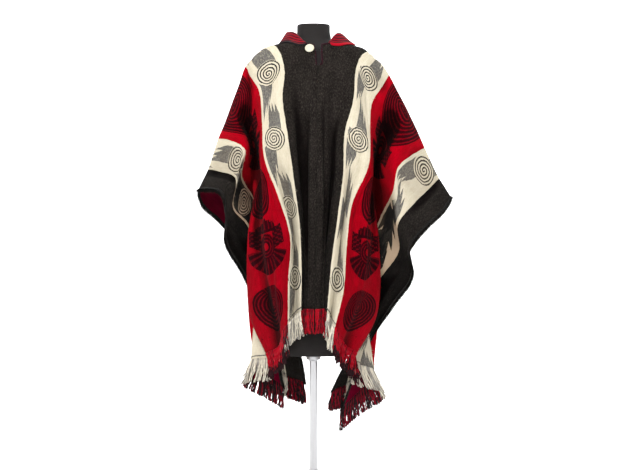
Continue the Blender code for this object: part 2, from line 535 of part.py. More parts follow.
def build_stand(collection, looks):
    foot = FORM[-1][1]
    top = BASE_THICK
    base = (
        (0.0, top), (BASE_RADIUS * 0.30, top), (BASE_RADIUS - 0.006, top - 0.002), (BASE_RADIUS, top - 0.006),
        (BASE_RADIUS, 0.002), (BASE_RADIUS - 0.002, 0.0), (0.0, 0.0),
    )
    build_turned("base_plate", base, collection, looks["metal"], 40)
    low = top + 0.0003
    high = foot - 0.0003
    pole = (
        (0.0, high), (0.024, high), (0.024, high - 0.016), (POLE_RADIUS, high - 0.022),
        (POLE_RADIUS, low + 0.030), (0.020, low + 0.024), (0.022, low), (0.0, low),
    )
    build_turned("pole", pole, collection, looks["metal"], 28)


def collar_points(side):
    """The collar's rows on one side of the neck, from the front end to the middle of the back."""
    table = np.array([row[1:] for row in COLLAR])
    v = np.array(COLLAR_ROWS)
    rise, fall_u, fall_v = spline(-table[:, 0], table[:, 1:], -v).T
    fall_u = np.maximum(fall_u, 0.0)
    rise = rise * (COLLAR_RISE_LEFT if side > 0 else 1.0)
    edge_u = neck_edge(side, v)
    edge = cloth(side, edge_u, v)
    edge[-1, 0] = seam_x(v[-1:])[0]
    run = np.gradient(edge, axis=0)
    run[-1] = np.array([1.0, 0.0, 0.0]) * -side
    inward = np.column_stack([run[:, 1], -run[:, 0], np.zeros(len(v))]) * -side
    inward = inward / np.linalg.norm(inward, axis=1)[:, None]
    up = np.array([0.0, 0.0, 1.0])
    rows = [
        edge + inward * 0.0049 - up * 0.0002,
        edge + inward * 0.0044 + up * rise[:, None] * 0.55,
        edge + inward * 0.0030 + up * rise[:, None],
    ]
    for part in (0.0, 0.16, 0.40, 0.70, 1.0):
        u = edge_u + (fall_u - edge_u) * part
        down = v + (fall_v - v) * part
        out = cloth_out(side, u, down)
        height = COLLAR_LIFT + np.maximum(rise - 0.002, 0.0) * (1 - part) ** 1.6
        lift = out * height[:, None] * part + up * height[:, None] * (1 - part)
        place = cloth(side, u, down) + lift
        if part == 0.0:
            place = edge - inward * 0.0022 + up * rise[:, None] * 1.02
        place[-1, 0] = seam_x(v[-1:])[0]
        rows.append(place)
    return np.array(rows).transpose(1, 0, 2)


def off_the_webs(points, webs, clear):
    """Lifts every point that is nearer the webs' middle sheets than clear straight up off them."""
    corners = []
    faces = []
    for web in webs:
        first = len(corners)
        corners.extend(tuple(vert.co) for vert in web.data.vertices)
        faces.extend(tuple(first + corner for corner in face.vertices) for face in web.data.polygons)
    tree = BVHTree.FromPolygons(corners, faces)
    lifted = points.copy()
    for index, place in enumerate(points):
        spot, way, _, _ = tree.find_nearest(Vector(place))
        way = np.array(way)
        if np.dot(way, np.array(spot) - CHEST) < 0:
            way = -way
        height = float(np.dot(place - np.array(spot), way))
        if height < clear:
            lifted[index] = place + way * (clear - height)
    return lifted


def build_collar(webs, collection, look):
    right = collar_points(-1)
    left = collar_points(1)
    right[-1] = (right[-1] + left[-1]) / 2
    grid = np.concatenate([right, left[-2::-1]])
    grid = off_the_form(grid.reshape(-1, 3), COLLAR_WALL / 2 + FORM_CLEAR).reshape(grid.shape)
    fall = grid[:, 5:]
    grid[:, 5:] = off_the_webs(fall.reshape(-1, 3), webs, COLLAR_CLEAR).reshape(fall.shape)
    thing = linked("collar", sheet_mesh("collar", grid), collection, look)
    thicken(thing, COLLAR_WALL)
    smooth(thing)
    return thing


def build_button(collection, look):
    spot = cloth(-1, [BUTTON_U], [BUTTON_V])[0]
    out = cloth_out(-1, [BUTTON_U], [BUTTON_V])[0]
    lift = WALL / 2 + 0.0004
    stem = 0.0034
    r, t = BUTTON_RADIUS, BUTTON_THICK
    profile = (
        (0.0, stem + t * 0.62), (r * 0.55, stem + t * 0.62), (r * 0.72, stem + t), (r * 0.93, stem + t * 0.96),
        (r, stem + t * 0.60), (r * 0.94, stem + t * 0.12), (r * 0.80, stem), (SHANK_RADIUS, stem),
        (SHANK_RADIUS, 0.0), (0.0, 0.0),
    )
    thing = build_turned("button", profile, collection, look, 24)
    z = out
    x = np.cross(np.array([0.0, 0.0, 1.0]), z)
    x = x / np.linalg.norm(x)
    y = np.cross(z, x)
    place = np.eye(4)
    place[:3, 0], place[:3, 1], place[:3, 2], place[:3, 3] = x, y, z, spot + out * lift
    thing.matrix_world = Matrix([tuple(row) for row in place])
    return spot, out, x, y


def build_loop(spot, out, x, y, collection, look):
    """A cord from the left web's slit edge, round the button's shank and back."""
    lift = WALL / 2 + 0.0004 + 0.0017
    ring = SHANK_RADIUS + CORD_RADIUS + 0.0005
    side = x if x[0] > 0 else -x
    points = []
    anchor = cloth(1, [0.006], [BUTTON_V + 0.002])[0] + cloth_out(1, [0.006], [BUTTON_V])[0] * (WALL / 2 + 0.0016)
    centre = spot + out * lift
    points.append(anchor + y * ring)
    for step in range(9):
        turn = math.pi / 2 + math.pi * step / 8
        points.append(centre + side * math.cos(turn) * ring + y * math.sin(turn) * ring)
    points.append(anchor - y * ring)
    curve = bpy.data.curves.new("loop_cord", "CURVE")
    curve.dimensions = "3D"
    curve.bevel_depth = CORD_RADIUS
    curve.bevel_resolution = 2
    curve.use_fill_caps = True
    line = curve.splines.new("POLY")
    line.points.add(len(points) - 1)
    for point, where in zip(line.points, points):
        point.co = (*where, 1.0)
    thing = bpy.data.objects.new("loop_cord", curve)
    collection.objects.link(thing)
    curve.materials.append(look)
    return thing


def main():
    clear_scene()
    collection = bpy.data.collections.new("andean_poncho")
    bpy.context.scene.collection.children.link(collection)
    looks = {
        "cloth": material("woven_cloth", (0.55, 0.02, 0.04), 0.95),
        "cloth_left": material("woven_cloth_left", (0.50, 0.02, 0.04), 0.95),
        "collar": material("collar_cloth", (0.60, 0.02, 0.06), 0.95),
        "fringe": material("fringe_yarn", (0.82, 0.76, 0.62), 0.95),
        "form": material("form_cover", (0.04, 0.04, 0.04), 0.80),
        "metal": material("stand_metal", (0.62, 0.62, 0.62), 0.35, 1.0),
        "button": material("button_face", (0.86, 0.82, 0.68), 0.40),
        "cord": material("loop_yarn", (0.02, 0.02, 0.02), 0.90),
    }
    build_form(collection, looks["form"])
    build_stand(collection, looks)
    webs = [
        build_web("web_right", -1, collection, looks["cloth"]),
        build_web("web_left", 1, collection, looks["cloth_left"]),
    ]
    for side, word in ((-1, "right"), (1, "left")):
        for end in ("front", "back"):
            build_fringe(f"fringe_{end}_{word}", side, end, collection, looks["fringe"])
    build_collar(webs, collection, looks["collar"])
    spot, out, x, y = build_button(collection, looks["button"])
    build_loop(spot, out, x, y, collection, looks["cord"])


main()
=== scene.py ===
# %% [markdown]
# # A woven poncho on a dress form
# The real thing is two long webs of brushed wool, joined at the centre, with a slit for the head, a small
# turned collar, one button with a cord loop, and yarn fringes on the hems. It hangs on a limbless form.
# This lesson dresses a ready frame: the frame holds each piece's place and size, and the cells below make
# the cloth, the yarns and the finishes that lie on it.

# %% Load the frame
import math

import bpy
import numpy as np
from mathutils import Matrix


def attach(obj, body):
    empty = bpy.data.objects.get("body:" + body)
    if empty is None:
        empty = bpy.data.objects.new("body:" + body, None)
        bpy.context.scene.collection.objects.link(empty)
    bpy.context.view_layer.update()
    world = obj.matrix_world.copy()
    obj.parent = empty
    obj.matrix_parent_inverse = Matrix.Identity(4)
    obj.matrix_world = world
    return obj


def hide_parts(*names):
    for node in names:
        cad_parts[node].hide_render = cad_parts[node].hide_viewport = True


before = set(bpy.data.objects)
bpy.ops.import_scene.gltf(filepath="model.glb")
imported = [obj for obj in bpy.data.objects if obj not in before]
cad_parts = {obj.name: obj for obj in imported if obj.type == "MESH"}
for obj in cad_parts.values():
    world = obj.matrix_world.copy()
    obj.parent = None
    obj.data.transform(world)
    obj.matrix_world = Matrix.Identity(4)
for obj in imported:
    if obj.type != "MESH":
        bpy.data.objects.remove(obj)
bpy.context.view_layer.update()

bpy.ops.object.select_all(action="DESELECT")

# %% [markdown]
# ## Camera, floor and light
# A garment is best judged straight on, from about the middle of its height, with a long lens so that the
# near cuffs don't swell. The floor is one pale round sheet that curves up all round, so no horizon line
# crosses the cloth, and big soft lamps stand in front, to both sides, overhead and behind. Soft lamps let
# the nap of the wool show without hard shadows.

# %% Camera
PICTURE_WIDE, PICTURE_TALL = 630, 470
LENS_PIXELS = 1350
EYE_LEVEL_PIXEL = 196
eye = bpy.data.cameras.new("eye")
eye.sensor_width = 36.0
eye.lens = LENS_PIXELS / PICTURE_WIDE * eye.sensor_width
eye.shift_y = -(PICTURE_TALL / 2 - EYE_LEVEL_PIXEL) / PICTURE_WIDE
camera = bpy.data.objects.new("camera", eye)
bpy.context.scene.collection.objects.link(camera)
camera.location = (0.005, -4.5, 0.95)
camera.rotation_euler = (math.radians(90), 0.0, 0.0)
bpy.context.scene.camera = camera
print("lens", round(eye.lens, 2), "mm")


# %% Shader helpers
class Sums:
    """Writes a finish as plain calls, so that a pattern reads like arithmetic."""

    def __init__(self, tree):
        self.tree = tree

    def feed(self, socket, term):
        """Sets a socket to a number, a place or a colour, or links a result to it."""
        if isinstance(term, (int, float)):
            socket.default_value = term
        elif isinstance(term, tuple):
            socket.default_value = term if socket.type == "VECTOR" else (*term, 1.0)
        else:
            self.tree.links.new(term, socket)

    def node(self, kind, *terms, **settings):
        """A new node with its settings. Each term is a pair: the socket and what feeds it."""
        made = self.tree.nodes.new("ShaderNode" + kind)
        for setting, value in settings.items():
            setattr(made, setting, value)
        for socket, term in terms:
            self.feed(made.inputs[socket], term)
        return made

    def do(self, kind, *terms):
        return self.node("Math", *enumerate(terms), operation=kind).outputs[0]

    def add(self, a, b):
        return self.do("ADD", a, b)

    def less(self, a, b):
        return self.do("SUBTRACT", a, b)

    def times(self, a, b):
        return self.do("MULTIPLY", a, b)

    def over(self, a, b):
        return self.do("DIVIDE", a, b)

    def below(self, a, b):
        return self.do("LESS_THAN", a, b)

    def above(self, a, b):
        return self.do("GREATER_THAN", a, b)

    def part(self, a):
        return self.do("FRACT", a)

    def size(self, a):
        return self.do("ABSOLUTE", a)

    def off_whole(self, a):
        """How far a is from the nearest whole number, above or below 0."""
        return self.less(a, self.do("FLOOR", self.add(a, 0.5)))

    def both(self, *masks):
        found = masks[0]
        for mask in masks[1:]:
            found = self.times(found, mask)
        return found

    def either(self, *masks):
        found = masks[0]
        for mask in masks[1:]:
            found = self.do("MAXIMUM", found, mask)
        return found

    def between(self, a, low, high):
        return self.times(self.above(a, low), self.below(a, high))

    def unless(self, mask):
        return self.less(1.0, mask)

    def far(self, a, b):
        """Length of a step a across and b down."""
        return self.do("SQRT", self.add(self.times(a, a), self.times(b, b)))

    def angle(self, a, b):
        """Direction of a step a across and b down, in whole turns from straight down."""
        return self.over(self.do("ARCTAN2", a, b), 2 * math.pi)

    def ramp(self, a, low, high, start=0.0, end=1.0):
        return self.node("MapRange", *enumerate((a, low, high, start, end))).outputs[0]

    def noise(self, where, scale, detail=2.0, rough=0.5):
        terms = ("Vector", where), ("Scale", scale), ("Detail", detail), ("Roughness", rough)
        return self.node("TexNoise", *terms).outputs["Fac"]

    def place(self, a, b, c=0.0):
        return self.node("CombineXYZ", *enumerate((a, b, c))).outputs[0]

    def split(self, where):
        """The three measures of a place."""
        return self.node("SeparateXYZ", (0, where)).outputs[:3]

    def object_place(self):
        return self.node("TexCoord").outputs["Object"]

    def flat_place(self):
        """u and v on the flat cloth, from the piece's own UV map."""
        return self.split(self.node("UVMap", uv_map="cut").outputs[0])[:2]

    def scaled(self, where, *scale):
        return self.node("Mapping", ("Vector", where), ("Scale", scale)).outputs[0]

    def blend(self, mask, first, second):
        """Colour first where the mask is 0, second where it is 1."""
        return self.node("Mix", (0, mask), (6, first), (7, second), data_type="RGBA").outputs[2]

    def bump(self, height, strength, distance):
        terms = ("Height", height), ("Strength", strength), ("Distance", distance)
        return self.node("Bump", *terms).outputs["Normal"]

    def coat(self, colour, normal=None, rough=0.5, gloss=0.5, sheen=0.0, metal=0.0):
        """Gives the Principled shader its colour, bumps, roughness, highlight, sheen and metal."""
        terms = {
            "Base Color": colour, "Normal": normal, "Roughness": rough,
            "Specular IOR Level": gloss, "Sheen Weight": sheen, "Metallic": metal,
        }
        shader = self.tree.nodes["Principled BSDF"]
        for socket, term in terms.items():
            if term is not None:
                self.feed(shader.inputs[socket], term)


def new_material(name):
    """A material with one Principled shader, and the sums that write its finish."""
    made = bpy.data.materials.new(name)
    made.use_nodes = True
    return made, Sums(made.node_tree)


# %% Floor and lamps
def lamp(name, place, aim, power, wide, tall=None):
    """A soft rectangle of light that faces the point it aims at."""
    light = bpy.data.lights.new(name, "AREA")
    light.energy = power
    light.shape = "RECTANGLE"
    light.size = wide
    light.size_y = tall or wide
    made = bpy.data.objects.new(name, light)
    bpy.context.scene.collection.objects.link(made)
    made.location = place
    way = np.array(aim, float) - np.array(place, float)
    way = way / np.linalg.norm(way)
    made.rotation_euler = (math.acos(-way[2]), 0.0, math.atan2(way[1], way[0]) - math.pi / 2)


FLAT_FLOOR = 5.6
WALL_BEND = 1.8
WALL_TOP = 7.0
bpy.ops.mesh.primitive_grid_add(x_subdivisions=96, y_subdivisions=40, size=2.0, location=(0.0, 0.0, 0.0))
floor = bpy.context.object
floor.name = "floor"
for vert in floor.data.vertices:
    turn = vert.co.x * math.pi
    run = (vert.co.y + 1.0) / 2.0 * (FLAT_FLOOR + WALL_BEND * math.pi / 2 + WALL_TOP)
    bend = min(max((run - FLAT_FLOOR) / WALL_BEND, 0.0), math.pi / 2)
    far = min(run, FLAT_FLOOR) + WALL_BEND * math.sin(bend)
    up = WALL_BEND * (1 - math.cos(bend)) + max(run - FLAT_FLOOR - WALL_BEND * math.pi / 2, 0.0)
    vert.co = (far * math.cos(turn), far * math.sin(turn), up)
bpy.ops.object.mode_set(mode="EDIT")
bpy.ops.mesh.select_all(action="SELECT")
bpy.ops.mesh.remove_doubles(threshold=0.0005)
bpy.ops.mesh.normals_make_consistent(inside=True)
bpy.ops.object.mode_set(mode="OBJECT")
bpy.ops.object.shade_smooth()
bpy.ops.object.select_all(action="DESELECT")
paint, m = new_material("pale_floor")
mottle = m.noise(m.object_place(), 3.0, 3.0)
m.coat(m.blend(mottle, (0.90, 0.90, 0.90), (0.93, 0.93, 0.93)), rough=0.9, gloss=0.1)
floor.data.materials.append(paint)

GARMENT_MIDDLE = (0.0, 0.0, 0.95)
lamp("key", (-1.1, -3.5, 3.6), GARMENT_MIDDLE, 178.0, 1.4)
lamp("fill", (2.6, -3.6, 1.4), GARMENT_MIDDLE, 26.0, 1.8)
lamp("overhead", (0.0, 0.0, 6.2), (0.0, 0.05, 0.0), 250.0, 5.0)
lamp("wall_wash", (0.0, 2.2, 5.0), (0.0, 7.2, 0.9), 620.0, 6.0, 1.6)
world = bpy.data.worlds.new("studio")
world.use_nodes = True
world.node_tree.nodes["Background"].inputs["Color"].default_value = (1.0, 1.0, 1.0, 1.0)
world.node_tree.nodes["Background"].inputs["Strength"].default_value = 0.14
bpy.context.scene.world = world
bpy.context.scene.view_settings.view_transform = "Standard"
bpy.context.scene.view_settings.look = "None"
print("floor and 4 lamps")

# %% [markdown]
# ## The dress form
# The form is a padded torso in dark jersey, wide at the shoulders and drawn in at the waist. A row of
# sizes, each with its height, is enough: rings are laid through them and skinned, and the ends are closed
# by caps. The cloth is later kept just clear of the same rings, so the two never touch through each
# other.

# %% Sizes of the form: name, height, half width, half depth, centre depth
FORM = (
    ("neck_top", 1.520, 0.0545, 0.0545, 0.004),
    ("neck_mid", 1.485, 0.0570, 0.0570, 0.003),
    ("neck_root", 1.464, 0.0660, 0.0610, 0.002),
    ("yoke", 1.450, 0.0960, 0.0670, 0.000),
    ("shoulder_top", 1.438, 0.1480, 0.0790, -0.001),
    ("shoulder", 1.418, 0.1860, 0.0890, -0.002),
    ("shoulder_end", 1.393, 0.2070, 0.0980, -0.003),
    ("armhole", 1.330, 0.2130, 0.1090, -0.005),
    ("bust", 1.230, 0.1980, 0.1200, -0.008),
    ("rib", 1.140, 0.1700, 0.1110, -0.006),
    ("waist", 1.050, 0.1450, 0.0990, 0.000),
    ("high_hip", 0.950, 0.1560, 0.1030, 0.000),
    ("hip", 0.850, 0.1680, 0.1080, 0.000),
    ("low_hip", 0.700, 0.1650, 0.1060, 0.000),
    ("thigh", 0.550, 0.1550, 0.1000, 0.000),
    ("foot", 0.440, 0.1450, 0.0930, 0.000),
    ("foot_edge", 0.424, 0.1370, 0.0860, 0.000),
)
FORM_POWER = 2.15
FORM_SIDES = 96
YOKE_FOOT = 1.40
YOKE_CLEAR = 0.0015
CLOTH_TOP = 1.51
CLOTH_FOOT = 0.40
LONGEST_PUSH = 0.020
print("form from", FORM[-1][1], "m up to", FORM[0][1], "m")


# %% A smooth curve through named rows
def spline(knots, values, at):
    """A smooth curve through values (knots first), read at the places asked for."""
    knots = np.asarray(knots, float)
    values = np.asarray(values, float)
    at = np.asarray(at, float)
    step = np.diff(knots)
    shape = (-1,) + (1,) * (values.ndim - 1)
    slope = np.diff(values, axis=0) / step.reshape(shape)
    inner = slope[:-1] * step[1:].reshape(shape) + slope[1:] * step[:-1].reshape(shape)
    inner = inner / (step[1:] + step[:-1]).reshape(shape)
    tangent = np.concatenate([slope[:1], inner, slope[-1:]])
    low = np.clip(np.searchsorted(knots, at, side="right") - 1, 0, len(step) - 1)
    part = ((at - knots[low]) / step[low]).reshape(shape)
    wide = step[low].reshape(shape)
    square, cube = part**2, part**3
    found = values[low] * (2 * cube - 3 * square + 1) + tangent[low] * wide * (cube - 2 * square + part)
    found = found + values[low + 1] * (3 * square - 2 * cube)
    return found + tangent[low + 1] * wide * (cube - square)


def form_section(z):
    """Half width, half depth and centre depth of the form at each height."""
    heights = np.array([row[1] for row in FORM])[::-1]
    sizes = np.array([row[2:5] for row in FORM])[::-1]
    return spline(heights, sizes, np.clip(z, heights[0], heights[-1]))


def form_reach(points):
    """Above 0 outside the form and below 0 inside it, in metres, with the way out."""
    def level(place):
        size = form_section(place[:, 2])
        across = (np.abs(place[:, 0]) / size[:, 0]) ** FORM_POWER
        deep = (np.abs(place[:, 1] - size[:, 2]) / size[:, 1]) ** FORM_POWER
        return (across + deep) ** (1 / FORM_POWER) - 1

    here = level(points)
    small = 0.0005
    way = np.empty_like(points)
    for axis in range(3):
        moved = points.copy()
        moved[:, axis] += small
        way[:, axis] = (level(moved) - here) / small
    size = np.maximum(np.linalg.norm(way, axis=1), 1e-6)
    return here / size, way / size[:, None]


def off_the_form(points, clear):
    """Moves every point that is nearer the form than clear straight out from it."""
    points = np.array(points, float)
    for _ in range(6):
        reach, way = form_reach(points)
        here = clear + YOKE_CLEAR * np.clip((points[:, 2] - YOKE_FOOT) / 0.03, 0.0, 1.0)
        short = np.clip(here - reach, 0.0, LONGEST_PUSH)
        short[(points[:, 2] > CLOTH_TOP) | (points[:, 2] < CLOTH_FOOT)] = 0.0
        points += way * short[:, None]
    return points


# %% Mesh helpers
def mesh_object(name, points, faces, looks, flat=None):
    """A smooth mesh with its finishes. flat is each point's place on the flat cloth, for the UV map."""
    mesh = bpy.data.meshes.new(name)
    mesh.from_pydata([tuple(point) for point in points], [], faces)
    if flat is not None:
        layer = mesh.uv_layers.new(name="cut")
        order = np.empty(len(mesh.loops), np.int32)
        mesh.loops.foreach_get("vertex_index", order)
        layer.data.foreach_set("uv", np.asarray(flat, np.float32)[order].reshape(-1))
    mesh.update()
    mesh.shade_smooth()
    for look in looks:
        mesh.materials.append(look)
    made = bpy.data.objects.new(name, mesh)
    bpy.context.scene.collection.objects.link(made)
    return made


def ring_faces(rings, sides, base=0, rising=False):
    """Faces between rings of points that turn left and lie one below another, or above where rising."""
    faces = []
    for ring in range(base, base + (rings - 1) * sides, sides):
        for side in range(sides):
            here, after = ring + side, ring + (side + 1) % sides
            face = (here, here + sides, after + sides, after)
            faces.append((here, *face[:0:-1]) if rising else face)
    return faces


def finish_modifiers(thing):
    """Applies every modifier, as the Apply button does."""
    bpy.ops.object.select_all(action="DESELECT")
    bpy.context.view_layer.objects.active = thing
    thing.select_set(True)
    for modifier in list(thing.modifiers):
        bpy.ops.object.modifier_apply(modifier=modifier.name)
    bpy.ops.object.select_all(action="DESELECT")


def settle(thing, slot, *nodes):
    """A finished piece rides on the one body and stands for its nodes, which are hidden. slot is not used."""
    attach(thing, "root")
    if nodes:
        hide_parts(*nodes)
    print(thing.name, len(thing.data.polygons), "faces")


# %% The form's skin
def build_form(look):
    top, foot = FORM[0][1], FORM[-1][1]
    heights = np.concatenate([np.linspace(top, YOKE_FOOT, 40), np.linspace(YOKE_FOOT, foot, 90)[1:]])
    turn = 2 * math.pi * np.arange(FORM_SIDES) / FORM_SIDES
    c, s = np.cos(turn), np.sin(turn)
    points = []
    for height, (wide, deep, centre) in zip(heights, form_section(heights)):
        x = np.sign(c) * np.abs(c) ** (2 / FORM_POWER) * wide
        y = np.sign(s) * np.abs(s) ** (2 / FORM_POWER) * deep + centre
        points.extend(zip(x, y, [height] * FORM_SIDES))
    faces = ring_faces(len(heights), FORM_SIDES)
    faces.append(tuple(range(FORM_SIDES)))
    faces.append(tuple(range(len(points) - FORM_SIDES, len(points)))[::-1])
    thing = mesh_object("form_skin", points, faces, (look,))
    for cap in thing.data.polygons[-2:]:
        cap.use_smooth = False
    edge = thing.modifiers.new("edge", "BEVEL")
    edge.width = 0.0025
    edge.segments = 3
    edge.limit_method = "ANGLE"
    edge.angle_limit = math.radians(50)
    finish_modifiers(thing)
    return thing


jersey, m = new_material("dark_jersey")
where = m.object_place()
knit = m.noise(m.scaled(where, 900.0, 900.0, 500.0), 1.0, 1.0)
cloud = m.noise(where, 14.0, 3.0)
shade = m.blend(cloud, (0.011, 0.0096, 0.0092), (0.0185, 0.0165, 0.0158))
m.coat(shade, m.bump(knit, 0.25, 0.0006), 0.85, 0.1, 0.06)
form_skin = build_form(jersey)
settle(form_skin, "form_cover", "dress_form")

# %% [markdown]
# ## The warp lines of the cloth
# A web of cloth has two measures of its own: u, from the centre seam to the selvedge, and v, from the
# shoulder line down, above 0 on the front. Each table row below is one thread of the warp: where it hangs
# at nine places from the shoulder to the hem. A smooth surface through these threads is the cloth as it
# is worn, and because u and v are real lengths on the cloth, the woven pattern can be drawn on it flat
# and follows every fold.

# %% Tables of warp lines: name, u, and x, y and z at each station
WORD = {-1: "right", 1: "left"}
WEB_SLOT = {-1: "woven_cloth", 1: "woven_cloth_left"}
WEB_WIDTH = 0.710
HALF_LENGTH = 0.920
WALL = 0.0026
SEAM_GAP = 0.0003
FORM_CLEAR = 0.0022
NECK_CUT = {-1: 0.052, 1: 0.042}
NECK_FRONT = 0.080
NECK_BACK = 0.085
SLIT_END = 0.160
SLIT_SPREAD = {-1: 0.055, 1: 0.046}
SLIT_GAPE = {-1: 0.0045, 1: 0.0125}
GAPE_OPENS = 0.055
GAPE_CLOSES = 0.008
NECK_POWER = 2.6
STATIONS = (0.0, 0.07, 0.15, 0.25, 0.36, 0.50, 0.64, 0.78, 0.92)
SEAM_X = (0.018, 0.016, 0.014, 0.013, 0.013, 0.012, 0.010, 0.007, 0.004)
SEAM_FRONT_YZ = (
    (0.000, 1.470), (-0.074, 1.452), (-0.113, 1.382), (-0.130, 1.276), (-0.138, 1.160),
    (-0.146, 1.014), (-0.152, 0.869), (-0.158, 0.725), (-0.163, 0.585),
)
SEAM_BACK_YZ = (
    (0.000, 1.470), (0.074, 1.454), (0.109, 1.387), (0.123, 1.281), (0.129, 1.167),
    (0.133, 1.024), (0.136, 0.884), (0.140, 0.744), (0.143, 0.604),
)
FLAT_CENTRE = 0.018
FRONT_RIGHT = (
    ("centre_valley", 0.072, ((-0.104, -0.004, 1.455), (-0.052, -0.076, 1.424), (-0.048, -0.112, 1.356),
                              (-0.054, -0.129, 1.262), (-0.049, -0.128, 1.150), (-0.042, -0.116, 1.010),
                              (-0.033, -0.122, 0.870), (-0.028, -0.130, 0.728), (-0.0275, -0.138, 0.583))),
    ("black_edge", 0.120, ((-0.138, 0.000, 1.442), (-0.104, -0.052, 1.414), (-0.093, -0.100, 1.357),
                           (-0.100, -0.134, 1.265), (-0.085, -0.145, 1.155), (-0.065, -0.149, 1.015),
                           (-0.046, -0.152, 0.873), (-0.039, -0.155, 0.728), (-0.040, -0.158, 0.578))),
    ("inner_cream", 0.180, ((-0.196, 0.000, 1.413), (-0.155, -0.050, 1.378), (-0.138, -0.098, 1.316),
                            (-0.135, -0.134, 1.223), (-0.127, -0.146, 1.115), (-0.092, -0.130, 0.980),
                            (-0.067, -0.122, 0.845), (-0.062, -0.130, 0.703), (-0.061, -0.136, 0.560))),
    ("cream_red", 0.235, ((-0.226, 0.000, 1.380), (-0.196, -0.044, 1.338), (-0.174, -0.090, 1.279),
                          (-0.166, -0.127, 1.184), (-0.160, -0.145, 1.080), (-0.114, -0.160, 0.948),
                          (-0.076, -0.170, 0.815), (-0.082, -0.177, 0.676), (-0.083, -0.180, 0.538))),
    ("red_side", 0.300, ((-0.248, 0.000, 1.320), (-0.224, -0.050, 1.288), (-0.199, -0.060, 1.228),
                         (-0.180, -0.080, 1.140), (-0.168, -0.122, 1.042), (-0.145, -0.146, 0.908),
                         (-0.120, -0.152, 0.771), (-0.112, -0.150, 0.633), (-0.100, -0.140, 0.497))),
    ("red_middle", 0.365, ((-0.270, 0.000, 1.260), (-0.249, -0.053, 1.234), (-0.222, -0.034, 1.172),
                           (-0.188, -0.020, 1.092), (-0.168, -0.080, 0.998), (-0.164, -0.116, 0.864),
                           (-0.155, -0.117, 0.726), (-0.137, -0.107, 0.588), (-0.115, -0.083, 0.455))),
    ("front_fold", 0.430, ((-0.293, 0.000, 1.197), (-0.262, -0.062, 1.184), (-0.222, -0.074, 1.140),
                           (-0.207, -0.030, 1.058), (-0.194, -0.030, 0.972), (-0.210, -0.060, 0.830),
                           (-0.212, -0.058, 0.694), (-0.204, -0.040, 0.560), (-0.155, -0.030, 0.428))),
    ("red_cream", 0.495, ((-0.317, 0.000, 1.140), (-0.275, -0.062, 1.133), (-0.226, -0.106, 1.104),
                          (-0.236, -0.066, 1.018), (-0.197, 0.006, 0.935), (-0.182, -0.060, 0.800),
                          (-0.200, -0.026, 0.660), (-0.190, 0.016, 0.528), (-0.142, 0.000, 0.412))),
    ("cream_black", 0.605, ((-0.351, 0.000, 1.037), (-0.308, -0.056, 1.030), (-0.254, -0.112, 1.008),
                            (-0.264, -0.088, 0.915), (-0.224, -0.020, 0.858), (-0.178, 0.026, 0.760),
                            (-0.172, 0.044, 0.635), (-0.196, 0.050, 0.508), (-0.208, 0.046, 0.388))),
    ("border_fold", 0.660, ((-0.368, 0.000, 1.001), (-0.330, -0.066, 1.003), (-0.278, -0.128, 0.986),
                            (-0.281, -0.082, 0.903), (-0.260, -0.002, 0.830), (-0.208, 0.040, 0.726),
                            (-0.184, 0.060, 0.604), (-0.168, 0.068, 0.475), (-0.160, 0.064, 0.346))),
    ("selvedge", 0.710, ((-0.383, 0.000, 0.968), (-0.348, -0.060, 0.974), (-0.299, -0.124, 0.962),
                         (-0.288, -0.060, 0.884), (-0.292, 0.002, 0.800), (-0.236, 0.038, 0.692),
                         (-0.188, 0.078, 0.574), (-0.138, 0.080, 0.442), (-0.105, 0.074, 0.305))),
)
